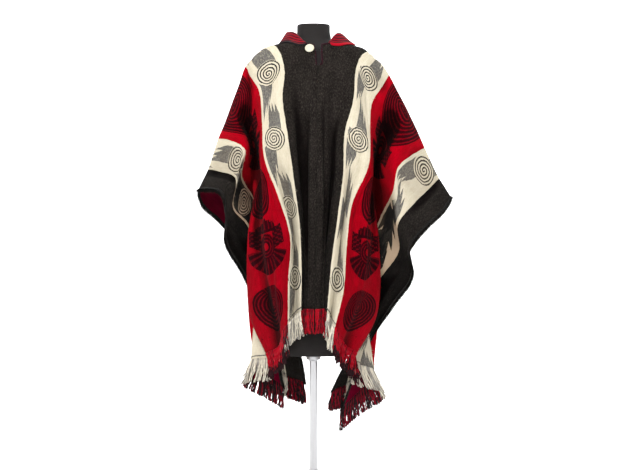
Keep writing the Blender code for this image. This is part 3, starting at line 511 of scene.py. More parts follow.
FRONT_LEFT = (
    ("centre_valley", 0.072, ((0.135, -0.003, 1.450), (0.098, -0.078, 1.420), (0.083, -0.112, 1.352),
                              (0.080, -0.130, 1.260), (0.068, -0.126, 1.152), (0.062, -0.118, 1.012),
                              (0.050, -0.122, 0.873), (0.038, -0.129, 0.730), (0.032, -0.135, 0.584))),
    ("black_edge", 0.120, ((0.180, 0.000, 1.421), (0.150, -0.055, 1.404), (0.136, -0.100, 1.350),
                           (0.129, -0.134, 1.261), (0.102, -0.146, 1.157), (0.096, -0.148, 1.017),
                           (0.078, -0.151, 0.877), (0.058, -0.155, 0.733), (0.044, -0.158, 0.572))),
    ("inner_cream", 0.180, ((0.222, 0.000, 1.394), (0.191, -0.052, 1.358), (0.166, -0.098, 1.303),
                            (0.158, -0.133, 1.210), (0.143, -0.147, 1.105), (0.113, -0.132, 0.966),
                            (0.094, -0.130, 0.829), (0.080, -0.138, 0.690), (0.057, -0.138, 0.546))),
    ("cream_red", 0.235, ((0.251, 0.000, 1.353), (0.226, -0.045, 1.311), (0.192, -0.092, 1.255),
                          (0.183, -0.126, 1.160), (0.178, -0.141, 1.052), (0.124, -0.153, 0.922),
                          (0.107, -0.162, 0.787), (0.098, -0.166, 0.652), (0.070, -0.168, 0.528))),
    ("red_side", 0.300, ((0.280, 0.000, 1.297), (0.256, -0.051, 1.264), (0.221, -0.062, 1.205),
                         (0.198, -0.076, 1.118), (0.188, -0.118, 1.016), (0.158, -0.144, 0.884),
                         (0.145, -0.150, 0.749), (0.127, -0.148, 0.614), (0.088, -0.138, 0.494))),
    ("red_middle", 0.365, ((0.310, 0.000, 1.240), (0.286, -0.056, 1.214), (0.250, -0.036, 1.154),
                           (0.208, -0.016, 1.072), (0.186, -0.076, 0.978), (0.178, -0.117, 0.846),
                           (0.175, -0.119, 0.710), (0.150, -0.106, 0.578), (0.104, -0.085, 0.462))),
    ("front_fold", 0.430, ((0.339, 0.000, 1.180), (0.304, -0.070, 1.158), (0.258, -0.082, 1.104),
                           (0.226, -0.040, 1.026), (0.202, -0.024, 0.945), (0.213, -0.056, 0.816),
                           (0.214, -0.056, 0.680), (0.203, -0.044, 0.552), (0.140, -0.040, 0.432))),
    ("red_cream", 0.495, ((0.370, 0.000, 1.110), (0.326, -0.056, 1.086), (0.276, -0.108, 1.045),
                          (0.256, -0.100, 0.960), (0.225, -0.024, 0.888), (0.182, -0.060, 0.765),
                          (0.200, -0.026, 0.630), (0.176, 0.010, 0.502), (0.129, 0.000, 0.398))),
    ("cream_black", 0.605, ((0.418, 0.000, 1.008), (0.379, -0.046, 0.972), (0.328, -0.092, 0.926),
                            (0.276, -0.128, 0.862), (0.280, -0.076, 0.770), (0.216, -0.006, 0.666),
                            (0.174, 0.030, 0.556), (0.188, 0.040, 0.444), (0.204, 0.036, 0.350))),
    ("border_fold", 0.660, ((0.438, 0.000, 0.977), (0.404, -0.054, 0.940), (0.352, -0.100, 0.893),
                            (0.298, -0.130, 0.828), (0.306, -0.068, 0.732), (0.246, 0.002, 0.630),
                            (0.186, 0.048, 0.517), (0.170, 0.060, 0.400), (0.155, 0.058, 0.290))),
    ("selvedge", 0.710, ((0.458, 0.000, 0.946), (0.430, -0.046, 0.906), (0.377, -0.092, 0.862),
                         (0.313, -0.120, 0.790), (0.325, -0.070, 0.694), (0.268, -0.005, 0.594),
                         (0.198, 0.066, 0.478), (0.144, 0.076, 0.355), (0.095, 0.074, 0.228))),
)
BACK_RIGHT = (
    ("centre_valley", 0.072, ((-0.104, -0.004, 1.455), (-0.058, 0.071, 1.428), (-0.057, 0.108, 1.364),
                              (-0.058, 0.121, 1.267), (-0.056, 0.121, 1.157), (-0.052, 0.114, 1.017),
                              (-0.047, 0.110, 0.877), (-0.042, 0.108, 0.737), (-0.040, 0.109, 0.597))),
    ("black_edge", 0.120, ((-0.138, 0.000, 1.442), (-0.110, 0.055, 1.410), (-0.105, 0.098, 1.350),
                           (-0.106, 0.122, 1.255), (-0.100, 0.133, 1.147), (-0.088, 0.140, 1.008),
                           (-0.074, 0.145, 0.868), (-0.062, 0.150, 0.728), (-0.056, 0.153, 0.588))),
    ("inner_cream", 0.180, ((-0.196, 0.000, 1.413), (-0.160, 0.050, 1.373), (-0.150, 0.090, 1.310),
                            (-0.150, 0.115, 1.215), (-0.142, 0.121, 1.107), (-0.124, 0.116, 0.968),
                            (-0.106, 0.115, 0.830), (-0.090, 0.118, 0.690), (-0.082, 0.122, 0.552))),
    ("cream_red", 0.235, ((-0.226, 0.000, 1.380), (-0.198, 0.045, 1.335), (-0.186, 0.080, 1.265),
                          (-0.186, 0.110, 1.170), (-0.180, 0.135, 1.062), (-0.158, 0.160, 0.925),
                          (-0.135, 0.172, 0.788), (-0.118, 0.180, 0.650), (-0.110, 0.183, 0.512))),
    ("back_valley", 0.300, ((-0.248, 0.000, 1.320), (-0.226, 0.054, 1.284), (-0.206, 0.068, 1.212),
                            (-0.198, 0.084, 1.118), (-0.194, 0.100, 1.010), (-0.180, 0.112, 0.874),
                            (-0.166, 0.122, 0.735), (-0.157, 0.136, 0.597), (-0.150, 0.147, 0.458))),
    ("red_middle", 0.365, ((-0.270, 0.000, 1.260), (-0.250, 0.056, 1.232), (-0.226, 0.058, 1.157),
                           (-0.212, 0.082, 1.062), (-0.208, 0.122, 0.957), (-0.210, 0.152, 0.822),
                           (-0.212, 0.166, 0.682), (-0.208, 0.170, 0.542), (-0.198, 0.171, 0.402))),
    ("back_fold", 0.430, ((-0.293, 0.000, 1.197), (-0.266, 0.068, 1.176), (-0.246, 0.098, 1.110),
                          (-0.230, 0.112, 1.014), (-0.226, 0.124, 0.910), (-0.226, 0.139, 0.775),
                          (-0.226, 0.144, 0.640), (-0.218, 0.142, 0.508), (-0.203, 0.140, 0.384))),
    ("red_cream", 0.495, ((-0.317, 0.000, 1.140), (-0.286, 0.062, 1.126), (-0.260, 0.108, 1.072),
                          (-0.242, 0.106, 0.980), (-0.224, 0.104, 0.880), (-0.204, 0.113, 0.750),
                          (-0.188, 0.122, 0.620), (-0.173, 0.122, 0.492), (-0.158, 0.118, 0.366))),
    ("cream_black", 0.605, ((-0.351, 0.000, 1.037), (-0.316, 0.056, 1.016), (-0.274, 0.104, 0.968),
                            (-0.252, 0.108, 0.878), (-0.220, 0.098, 0.778), (-0.180, 0.094, 0.660),
                            (-0.141, 0.098, 0.548), (-0.110, 0.101, 0.440), (-0.090, 0.102, 0.336))),
    ("border_fold", 0.660, ((-0.368, 0.000, 1.001), (-0.350, 0.060, 0.966), (-0.304, 0.112, 0.922),
                            (-0.262, 0.112, 0.846), (-0.222, 0.090, 0.750), (-0.166, 0.080, 0.636),
                            (-0.115, 0.086, 0.528), (-0.080, 0.090, 0.425), (-0.062, 0.094, 0.326))),
    ("selvedge", 0.710, ((-0.383, 0.000, 0.968), (-0.373, 0.052, 0.920), (-0.330, 0.104, 0.876),
                         (-0.274, 0.116, 0.812), (-0.217, 0.076, 0.714), (-0.148, 0.066, 0.604),
                         (-0.088, 0.090, 0.508), (-0.050, 0.093, 0.410), (-0.034, 0.096, 0.316))),
)
BACK_LEFT = (
    ("centre_valley", 0.072, ((0.135, -0.003, 1.450), (0.085, 0.071, 1.426), (0.083, 0.108, 1.362),
                              (0.084, 0.121, 1.265), (0.082, 0.121, 1.155), (0.076, 0.114, 1.015),
                              (0.068, 0.110, 0.875), (0.060, 0.108, 0.735), (0.054, 0.109, 0.595))),
    ("black_edge", 0.120, ((0.180, 0.000, 1.421), (0.150, 0.055, 1.402), (0.134, 0.098, 1.348),
                           (0.131, 0.120, 1.252), (0.126, 0.133, 1.143), (0.113, 0.140, 1.005),
                           (0.097, 0.145, 0.865), (0.082, 0.150, 0.726), (0.073, 0.153, 0.586))),
    ("inner_cream", 0.180, ((0.222, 0.000, 1.394), (0.195, 0.050, 1.357), (0.178, 0.090, 1.298),
                            (0.173, 0.113, 1.204), (0.166, 0.120, 1.097), (0.148, 0.116, 0.958),
                            (0.128, 0.115, 0.820), (0.110, 0.118, 0.682), (0.100, 0.122, 0.545))),
    ("cream_red", 0.235, ((0.251, 0.000, 1.353), (0.225, 0.045, 1.308), (0.208, 0.078, 1.240),
                          (0.204, 0.108, 1.145), (0.197, 0.134, 1.037), (0.177, 0.160, 0.900),
                          (0.155, 0.172, 0.763), (0.138, 0.180, 0.625), (0.128, 0.183, 0.490))),
    ("back_valley", 0.300, ((0.280, 0.000, 1.297), (0.256, 0.053, 1.260), (0.236, 0.068, 1.188),
                            (0.226, 0.084, 1.093), (0.216, 0.100, 0.986), (0.202, 0.112, 0.850),
                            (0.184, 0.122, 0.711), (0.171, 0.136, 0.574), (0.160, 0.147, 0.440))),
    ("red_middle", 0.365, ((0.310, 0.000, 1.240), (0.288, 0.056, 1.210), (0.262, 0.060, 1.135),
                           (0.243, 0.084, 1.040), (0.230, 0.122, 0.935), (0.224, 0.152, 0.800),
                           (0.220, 0.166, 0.660), (0.211, 0.170, 0.522), (0.198, 0.171, 0.388))),
    ("back_fold", 0.430, ((0.339, 0.000, 1.180), (0.309, 0.066, 1.150), (0.280, 0.098, 1.084),
                          (0.256, 0.112, 0.988), (0.243, 0.124, 0.884), (0.236, 0.139, 0.750),
                          (0.229, 0.143, 0.615), (0.216, 0.141, 0.485), (0.202, 0.139, 0.364))),
    ("red_cream", 0.495, ((0.370, 0.000, 1.110), (0.333, 0.058, 1.084), (0.300, 0.104, 1.028),
                          (0.274, 0.106, 0.938), (0.250, 0.104, 0.836), (0.224, 0.112, 0.706),
                          (0.199, 0.121, 0.580), (0.178, 0.121, 0.458), (0.160, 0.116, 0.344))),
    ("cream_black", 0.605, ((0.418, 0.000, 1.008), (0.386, 0.046, 0.968), (0.346, 0.086, 0.918),
                            (0.306, 0.106, 0.840), (0.266, 0.100, 0.740), (0.218, 0.095, 0.626),
                            (0.174, 0.098, 0.514), (0.138, 0.101, 0.405), (0.112, 0.101, 0.306))),
    ("border_fold", 0.660, ((0.438, 0.000, 0.977), (0.412, 0.050, 0.935), (0.366, 0.088, 0.885),
                            (0.321, 0.108, 0.812), (0.280, 0.107, 0.713), (0.227, 0.092, 0.601),
                            (0.170, 0.089, 0.494), (0.123, 0.093, 0.391), (0.090, 0.095, 0.298))),
    ("selvedge", 0.710, ((0.458, 0.000, 0.946), (0.432, 0.040, 0.898), (0.386, 0.076, 0.850),
                         (0.334, 0.108, 0.780), (0.292, 0.115, 0.684), (0.234, 0.098, 0.574),
                         (0.168, 0.086, 0.472), (0.109, 0.090, 0.377), (0.068, 0.092, 0.290))),
)
threads = FRONT_RIGHT + FRONT_LEFT + BACK_RIGHT + BACK_LEFT
print(len(threads), "threads of the warp, each at", len(STATIONS), "places")


# %% From u and v to a place in the room
def seam_x(v):
    return spline(STATIONS, SEAM_X, np.abs(v))


def opening(v, side):
    """How far the cut at the neck and the slit part the seam's edge from the seam's line."""
    front = np.maximum(0.0, 1 - v / SLIT_END) ** 2
    back = np.maximum(0.0, 1 + v / NECK_BACK) ** 2
    gape = np.clip((v - NECK_FRONT) / GAPE_OPENS, 0.0, 1.0) * np.clip((SLIT_END - v) / GAPE_CLOSES, 0.0, 1.0)
    return SLIT_SPREAD[side] * np.where(v >= 0, front, back) + SLIT_GAPE[side] * gape


def warp_lines(side):
    front = FRONT_LEFT if side > 0 else FRONT_RIGHT
    back = BACK_LEFT if side > 0 else BACK_RIGHT
    stations = np.array([-s for s in STATIONS[:0:-1]] + list(STATIONS))
    edge = seam_x(stations) + side * (opening(stations, side) + SEAM_GAP / 2)
    depth = np.array(list(SEAM_BACK_YZ[:0:-1]) + list(SEAM_FRONT_YZ))
    centre = np.column_stack([edge, depth])
    lines = [centre, centre + np.array([side * FLAT_CENTRE, 0.0, 0.0])]
    across = [0.0, FLAT_CENTRE]
    for ahead, behind in zip(front, back):
        across.append(ahead[1])
        lines.append(np.array(list(behind[2][:0:-1]) + list(ahead[2])))
    return stations, np.array(across), np.array(lines)


def neck_edge(side, v):
    """u of the cut edge: 0 where the two webs meet or where the slit is."""
    reach = np.where(v >= 0, v / NECK_FRONT, -v / NECK_BACK)
    return NECK_CUT[side] * np.maximum(0.0, 1 - reach**NECK_POWER) ** (1 / NECK_POWER)


def bare_cloth(side, u, v):
    """Points of one web before its small creases. u has a row for each v."""
    stations, across, lines = warp_lines(side)
    v = np.asarray(v, float)
    sections = spline(stations, lines.transpose(1, 0, 2), v)
    sections[:, 0, 0] = seam_x(v) + side * (opening(v, side) + SEAM_GAP / 2)
    sections[:, 1, 0] = sections[:, 0, 0] + side * FLAT_CENTRE
    return np.array([spline(across, sections[row], u[row]) for row in range(len(v))])


def unit(vectors):
    return vectors / np.maximum(np.linalg.norm(vectors, axis=-1), 1e-9)[..., None]


def outward(grid, side):
    """The way out of the outer face at every point of a grid."""
    return unit(np.cross(np.gradient(grid, axis=0), np.gradient(grid, axis=1)) * side)


def hollow_depth(grid, side, reach=7):
    """How far each point lies below the cloth a few fingers to its left and right, in metres."""
    out = outward(grid, side)
    columns = np.arange(grid.shape[1])
    found = np.zeros(grid.shape[:2])
    for step, share in ((reach, 0.5), (2 * reach, 0.5), (4 * reach, 0.12)):
        before = grid[:, np.maximum(columns - step, 0)]
        after = grid[:, np.minimum(columns + step, grid.shape[1] - 1)]
        found += (((before + after) / 2 - grid) * out).sum(axis=2) * share
    return found


# %% [markdown]
# ## Creases
# The tables hold the large folds. Real wool also shows softer troughs between them, none alike. Each row
# here is one: where it starts and ends down the cloth, how it drifts sideways, how wide it is and how
# deep. They are pushed in or out along the cloth's own normal, and fade at both ends.

# %% Table of creases: name, side, u from, u to, v from, v to, half width, height
CREASES = (
    ("centre_valley", -1, 0.036, 0.040, 0.30, 1.10, 0.0085, -0.011),
    ("centre_ridge", -1, 0.058, 0.062, 0.34, 1.10, 0.012, 0.006),
    ("centre_valley", 1, 0.024, 0.036, 0.26, 1.10, 0.0090, -0.018),
    ("centre_ridge", 1, 0.047, 0.052, 0.30, 1.10, 0.012, 0.006),
    ("chest_pull", -1, 0.070, 0.040, 0.16, 0.46, 0.012, 0.004),
    ("chest_pull", 1, 0.080, 0.052, 0.18, 0.50, 0.013, 0.004),
    ("red_pleat", -1, 0.268, 0.262, 0.16, 0.62, 0.014, -0.008),
    ("red_roll", -1, 0.330, 0.345, 0.26, 0.86, 0.020, 0.009),
    ("red_trough", -1, 0.392, 0.380, 0.34, 0.80, 0.015, -0.008),
    ("hem_roll", -1, 0.300, 0.285, 0.60, 0.92, 0.016, 0.007),
    ("cream_pleat", -1, 0.205, 0.196, 0.38, 0.66, 0.008, -0.006),
    ("shoulder_pull", -1, 0.150, 0.215, 0.02, 0.30, 0.016, -0.004),
    ("centre_soft", -1, 0.060, 0.046, 0.30, 0.90, 0.012, -0.005),
    ("centre_roll", -1, 0.096, 0.086, 0.22, 0.88, 0.010, 0.004),
    ("cuff_dent", -1, 0.560, 0.530, 0.04, 0.22, 0.030, -0.008),
    ("cuff_roll", -1, 0.470, 0.455, 0.02, 0.26, 0.028, 0.006),
    ("border_wave", -1, 0.668, 0.660, 0.30, 0.84, 0.018, 0.008),
    ("fold_soft", -1, 0.445, 0.455, 0.42, 0.90, 0.014, 0.006),
    ("red_pleat", 1, 0.262, 0.270, 0.20, 0.70, 0.013, -0.008),
    ("red_roll", 1, 0.325, 0.338, 0.30, 0.88, 0.018, 0.009),
    ("red_trough", 1, 0.385, 0.398, 0.26, 0.74, 0.016, -0.009),
    ("hem_roll", 1, 0.300, 0.318, 0.62, 0.92, 0.015, 0.006),
    ("cream_pleat", 1, 0.196, 0.206, 0.22, 0.52, 0.009, -0.006),
    ("shoulder_pull", 1, 0.160, 0.230, 0.03, 0.26, 0.015, -0.004),
    ("centre_soft", 1, 0.044, 0.058, 0.26, 0.86, 0.013, -0.005),
    ("centre_roll", 1, 0.092, 0.090, 0.30, 0.90, 0.010, 0.004),
    ("cuff_dent", 1, 0.545, 0.520, 0.06, 0.26, 0.028, -0.009),
    ("cuff_roll", 1, 0.455, 0.440, 0.03, 0.30, 0.026, 0.006),
    ("border_wave", 1, 0.660, 0.670, 0.26, 0.80, 0.018, 0.008),
    ("fold_soft", 1, 0.450, 0.462, 0.36, 0.88, 0.015, 0.006),
    ("back_pleat", -1, 0.258, 0.270, -0.86, -0.24, 0.015, -0.008),
    ("back_roll", -1, 0.336, 0.322, -0.90, -0.30, 0.017, 0.008),
    ("back_soft", -1, 0.100, 0.082, -0.84, -0.20, 0.014, 0.005),
    ("back_dent", -1, 0.540, 0.560, -0.34, -0.04, 0.028, -0.008),
    ("back_trough", -1, 0.048, 0.060, -0.90, -0.34, 0.012, -0.005),
    ("back_border", -1, 0.662, 0.655, -0.78, -0.28, 0.018, 0.007),
    ("back_pleat", 1, 0.266, 0.258, -0.82, -0.20, 0.014, -0.008),
    ("back_roll", 1, 0.322, 0.334, -0.90, -0.34, 0.018, 0.008),
    ("back_soft", 1, 0.088, 0.100, -0.88, -0.26, 0.013, 0.005),
    ("back_dent", 1, 0.552, 0.535, -0.30, -0.05, 0.030, -0.008),
    ("back_trough", 1, 0.058, 0.046, -0.86, -0.30, 0.013, -0.005),
    ("back_border", 1, 0.655, 0.664, -0.80, -0.26, 0.017, 0.007),
)
print(len(CREASES), "creases")


# %% Small creases on the worn cloth
def crease_height(side, u, v):
    """How far the small creases lift the cloth, in metres."""
    found = 0.0018 * np.sin(31.0 * u + 4.0 * v + side) * np.sin(7.3 * v + 9.0 * u + 1.7)
    found += 0.0010 * np.sin(67.0 * u - 5.0 * v) * np.sin(15.0 * v + 2.0 * side + 5.0 * u)
    for _, web, start, end, first, last, wide, height in CREASES:
        if web != side:
            continue
        along = np.clip((v - first) / (last - first), 0.0, 1.0)
        fade = np.sin(math.pi * along) ** 0.7
        middle = start + (end - start) * along + 0.004 * np.sin(11.0 * v + 40.0 * start)
        found += height * fade * np.exp(-(((u - middle) / wide) ** 2))
    return found * np.clip((u - 0.004) / 0.03, 0.0, 1.0)


def web_grid(side, u, v):
    """The worn cloth at u and v, creases included and clear of the form. u has a row for each v."""
    grid = bare_cloth(side, u, v)
    down = np.repeat(np.asarray(v, float)[:, None], u.shape[1], axis=1)
    lift = crease_height(side, u, down) * np.clip((np.abs(down) - 0.02) / 0.12, 0.15, 1.0)
    grid = grid + outward(grid, side) * lift[:, :, None]
    return off_the_form(grid.reshape(-1, 3), WALL / 2 + FORM_CLEAR).reshape(grid.shape)


# %% [markdown]
# ## Wool in the colours of the stripes
# The cloth is woven in two layers of yarn that change places, so its reverse shows the same drawing in
# other colours: red where the face is black, black where it is red. One function therefore writes the
# pattern once, from u and v, and is given two sets of colours. The spirals, the toothed bands and the
# ringed ovals are worked out with arithmetic on u and v. Fine noise that is stretched along the warp
# breaks every edge as yarn does.

# %% Colours of the yarns, and tones of painted shade
FACE_YARNS = {
    "dark": ((0.0020, 0.0016, 0.0014), (0.0160, 0.0132, 0.0114)),
    "cream": ((0.425, 0.375, 0.275), (0.590, 0.540, 0.425)),
    "grey": ((0.036, 0.035, 0.036), (0.110, 0.105, 0.100)),
    "red": ((0.190, 0.0000, 0.0030), (0.385, 0.0000, 0.0080)),
    "line": ((0.0040, 0.0004, 0.0010), (0.0200, 0.0010, 0.0030)),
    "border": ((0.0018, 0.0015, 0.0014), (0.0140, 0.0118, 0.0102)),
}
# Painted shade: the cream and the grey of the outer stripe where it lies in the shadow under the cuff.
UNDER_CUFF_SHADE = {"cream": (0.330, 0.245, 0.165), "grey": (0.0060, 0.0052, 0.0050)}
# Painted shade: the reverse swaps red and black as the double weave does, and its cream is given as tan and
# the red behind the border as maroon, darker than the same yarns on the face, as the inside lies in shade.
SHADED_REVERSE_YARNS = {
    "dark": ((0.14, 0.001, 0.010), (0.24, 0.002, 0.020)),
    "cream": ((0.32, 0.25, 0.16), (0.44, 0.36, 0.25)),
    "grey": ((0.010, 0.009, 0.009), (0.030, 0.026, 0.024)),
    "red": ((0.006, 0.005, 0.005), (0.020, 0.017, 0.015)),
    "line": ((0.16, 0.001, 0.010), (0.26, 0.002, 0.020)),
    "border": ((0.060, 0.000, 0.007), (0.125, 0.001, 0.014)),
}
STRIPE_EDGES = (0.120, 0.235, 0.495, 0.605)
RED_CENTRE = 0.360
CREAM_MIDDLES = (0.1775, 0.5500)
# v of the first spiral of the inner and the outer cream stripe, and v where the painted shade under the cuff
# begins on the outer one
SPIRAL_ROWS = {-1: (0.113, 0.122, 0.170), 1: (0.106, 0.052, 0.235)}
SPIRAL_STEP = 0.228
SPIRAL_WIDE = 0.0455
SPIRAL_TALL = 0.0405
SPIRAL_PITCH = 0.0090
OVAL_STEP = 0.3785
OVAL_FIRST = 0.040
OVAL_WIDE = 0.080
OVAL_TALL = 0.104
RED_MIDDLE = (0.365, 0.343)
HANG_TILT = 0.50
SPIRAL_TILT = 0.66
SHOULDER_TILT = 0.22
TUCKED_INNER = (0.448, 0.676)
TUCKED_OUTER = (0.166, 0.394)
LAST_WEFT = 0.908
print(len(FACE_YARNS), "yarns on the face and", len(SHADED_REVERSE_YARNS), "on the reverse")


# %% Spirals and toothed bands of a cream stripe
def cream_drawing(m, u, v, lean, first_inner, first_outer, reverse):
    """Masks of the spiral disc, its dark lines and the grey bands, from flat u and v."""
    outer = m.above(u, RED_CENTRE)
    inner = m.unless(outer)
    lowest = m.both(m.ramp(v, 0.62, 0.68), inner)
    if lean < 0:
        slide = m.times(m.ramp(v, 0.17, 0.30, 0.0, 0.045), m.ramp(v, 0.60, 0.74, 1.0, 0.0))
        v = m.add(v, m.times(outer, slide))
    middle = m.add(CREAM_MIDDLES[0], m.times(outer, CREAM_MIDDLES[1] - CREAM_MIDDLES[0]))
    step = m.times(m.less(u, middle), lean)
    first = m.add(first_inner, m.times(outer, first_outer - first_inner))
    turn = m.over(m.less(v, first), SPIRAL_STEP)
    tilt = m.ramp(v, 0.18, 0.27, 0.0, SPIRAL_TILT - SHOULDER_TILT)
    tilt = m.add(m.ramp(v, 0.0, 0.05, 0.0, SHOULDER_TILT), tilt)
    tilt = m.times(inner, m.times(tilt, m.ramp(v, 0.60, 0.68, 1.0, HANG_TILT / SPIRAL_TILT)))
    near = m.add(m.times(m.off_whole(turn), SPIRAL_STEP), m.times(tilt, m.less(u, middle)))
    round_step = m.over(m.times(step, SPIRAL_TALL / SPIRAL_WIDE), m.add(1.0, m.times(lowest, 0.26)))
    reach = m.far(round_step, near)
    pitch = m.add(SPIRAL_PITCH, m.times(lowest, 0.0022))
    coil = m.less(m.over(reach, pitch), m.angle(near, round_step))
    disc = m.both(m.below(reach, SPIRAL_TALL), m.below(coil, m.less(4.60, m.times(lowest, 0.90))))
    if lean > 0:
        tucked = m.both(inner, m.between(v, *TUCKED_INNER))
        tucked = m.either(m.both(outer, m.between(v, *TUCKED_OUTER)), tucked)
        disc = m.both(disc, m.unless(tucked))
    lines = m.both(disc, m.below(m.part(coil), 0.46))

    across = m.over(step, 0.0565)
    along = m.part(turn)

    def fingers(from_left, first_edge, last_edge, length, lost, cut):
        """A band that leaves a spiral and ends in three pointed fingers, the left one longest."""
        count = m.over(m.less(across, first_edge), (last_edge - first_edge) / 3)
        whole = m.do("FLOOR", count)
        end = m.less(m.less(length, m.times(whole, lost)), m.times(m.less(count, whole), cut))
        return m.both(m.between(across, first_edge, last_edge), m.below(from_left, end))

    hanging = fingers(along, -0.80, 0.02, 0.62, 0.080, 0.22)
    if lean > 0:
        hanging = m.both(hanging, m.unless(m.both(lowest, m.above(v, 0.775))))
    rising = fingers(m.unless(along), -0.34, 0.66, 0.60, 0.070, 0.22)
    band = m.either(hanging, rising)
    if lean < 0:
        plain = m.both(outer, m.above(v, 0.70))
        disc, lines, band = (m.both(drawn, m.unless(plain)) for drawn in (disc, lines, band))
    if reverse:
        band = m.either(band, m.both(m.below(m.size(across), 0.80), m.below(m.size(near), 0.066)))
    weft = m.between(m.size(v), LAST_WEFT - 0.003, LAST_WEFT + 0.002)
    return disc, lines, m.either(band, weft)


# %% Ovals of the red stripe
def oval_drawing(m, step, near, down):
    """Masks of an oval's nested rings and its plume of quills, and of the oval's ground."""
    swell = m.ramp(down, 0.180, 0.190, 1.24, 0.93)
    squash = m.ramp(down, 0.180, 0.190, 1.24, 0.74)
    wide_step = m.over(m.over(step, OVAL_WIDE), swell)
    tall_step = m.over(m.over(near, OVAL_TALL), squash)
    reach = m.far(wide_step, tall_step)
    eye = m.add(tall_step, m.times(m.unless(m.do("MINIMUM", reach, 1.0)), 0.32))
    ring = m.far(wide_step, eye)
    angle = m.angle(step, m.times(m.times(eye, squash), -OVAL_TALL))
    plume = m.both(m.below(m.size(angle), 0.105), m.above(ring, 0.36))
    rings = m.both(m.above(m.part(m.times(m.times(ring, swell), 8.5)), 0.36), m.unless(plume))
    quills = m.both(m.above(m.part(m.times(angle, 46.0)), 0.42), plume)
    ground = m.below(reach, 1.02)
    return m.both(m.either(rings, quills), ground, m.above(ring, 0.09)), ground


# %% Ringed suns of the red stripe
def sun_drawing(m, step, fig):
    """Masks of a sun's lines and of its ground: a ringed head, a rayed skirt, two wings and a crest."""
    wide = m.size(step)
    head_drop = m.add(fig, 0.014)
    head = m.far(step, head_drop)
    head_rings = (m.between(head, 0.012, 0.019), m.between(head, 0.024, 0.030), m.between(head, 0.035, 0.040))
    spin = m.angle(step, head_drop)
    skirt_ground = m.both(m.between(head, 0.040, 0.092), m.below(m.size(spin), 0.205))
    skirt = m.both(skirt_ground, m.above(m.part(m.add(m.times(spin, 25.0), 0.25)), 0.36))
    wing_drop = m.add(fig, m.times(wide, 0.35))
    wing_ground = m.both(m.between(wide, 0.036, 0.080), m.between(wing_drop, -0.050, 0.012))
    feather_step = m.times(m.do("FLOOR", m.over(wide, 0.012)), 0.006)
    feather = m.part(m.over(m.less(fig, feather_step), 0.0150))
    wing = m.both(wing_ground, m.above(feather, 0.32))
    crest_top = m.add(-0.104, m.times(m.do("FLOOR", m.over(wide, 0.017)), 0.007))
    crest_ground = m.both(m.below(wide, 0.056), m.above(fig, crest_top), m.below(fig, -0.058))
    comb = m.above(m.part(m.over(m.add(step, 0.1), 0.0180)), 0.32)
    crest = m.both(crest_ground, m.either(comb, m.above(fig, -0.068)))
    ground = m.either(m.between(head, 0.0125, 0.043), skirt_ground, wing_ground, crest_ground)
    return m.either(*head_rings, skirt, wing, crest), ground


# %% Drawing of the red stripe
def red_drawing(m, u, v):
    """Masks of the dark lines and of the darker grounds around the ovals and the ringed suns."""
    down = m.size(m.less(v, OVAL_FIRST))
    turn = m.over(down, OVAL_STEP)
    step = m.less(u, m.ramp(down, 0.20, 0.50, *RED_MIDDLE))
    tilt = m.times(m.ramp(v, 0.44, 0.52, 0.0, HANG_TILT), step)
    near = m.add(m.times(m.off_whole(turn), OVAL_STEP), tilt)
    oval, oval_ground = oval_drawing(m, step, near, down)
    fig = m.add(m.times(m.less(m.part(turn), 0.5), OVAL_STEP), tilt)
    sun, sun_ground = sun_drawing(m, step, fig)
    whole = m.below(down, 0.835)
    return m.either(oval, m.both(sun, whole)), oval_ground, m.both(sun_ground, whole)


# %% Colours in their stripes
def in_stripes(m, u, *layers):
    """The first layer next to the seam, and one more from each edge of a stripe."""
    shade = layers[0]
    for edge, layer in zip(STRIPE_EDGES, layers[1:]):
        shade = m.blend(m.above(u, edge), shade, layer)
    return shade


def bands_under_cuff(m, lean, u, v, band_lines, coil_lines):
    """Mask of the grey bands where the outer cream stripe lies in the shade under the cuff, where cream and
    grey are painted in shaded tones.
    """
    if lean < 0:
        from_middle = m.size(m.less(u, CREAM_MIDDLES[1]))
        return m.both(m.below(from_middle, 0.046), m.unless(coil_lines))
    saw = m.part(m.add(m.times(v, 21.0), m.times(u, -9.0)))
    toothed = m.below(m.size(m.less(u, 0.544)), m.add(0.014, m.times(saw, 0.022)))
    return m.either(band_lines, coil_lines, m.both(toothed, m.above(v, 0.215)))


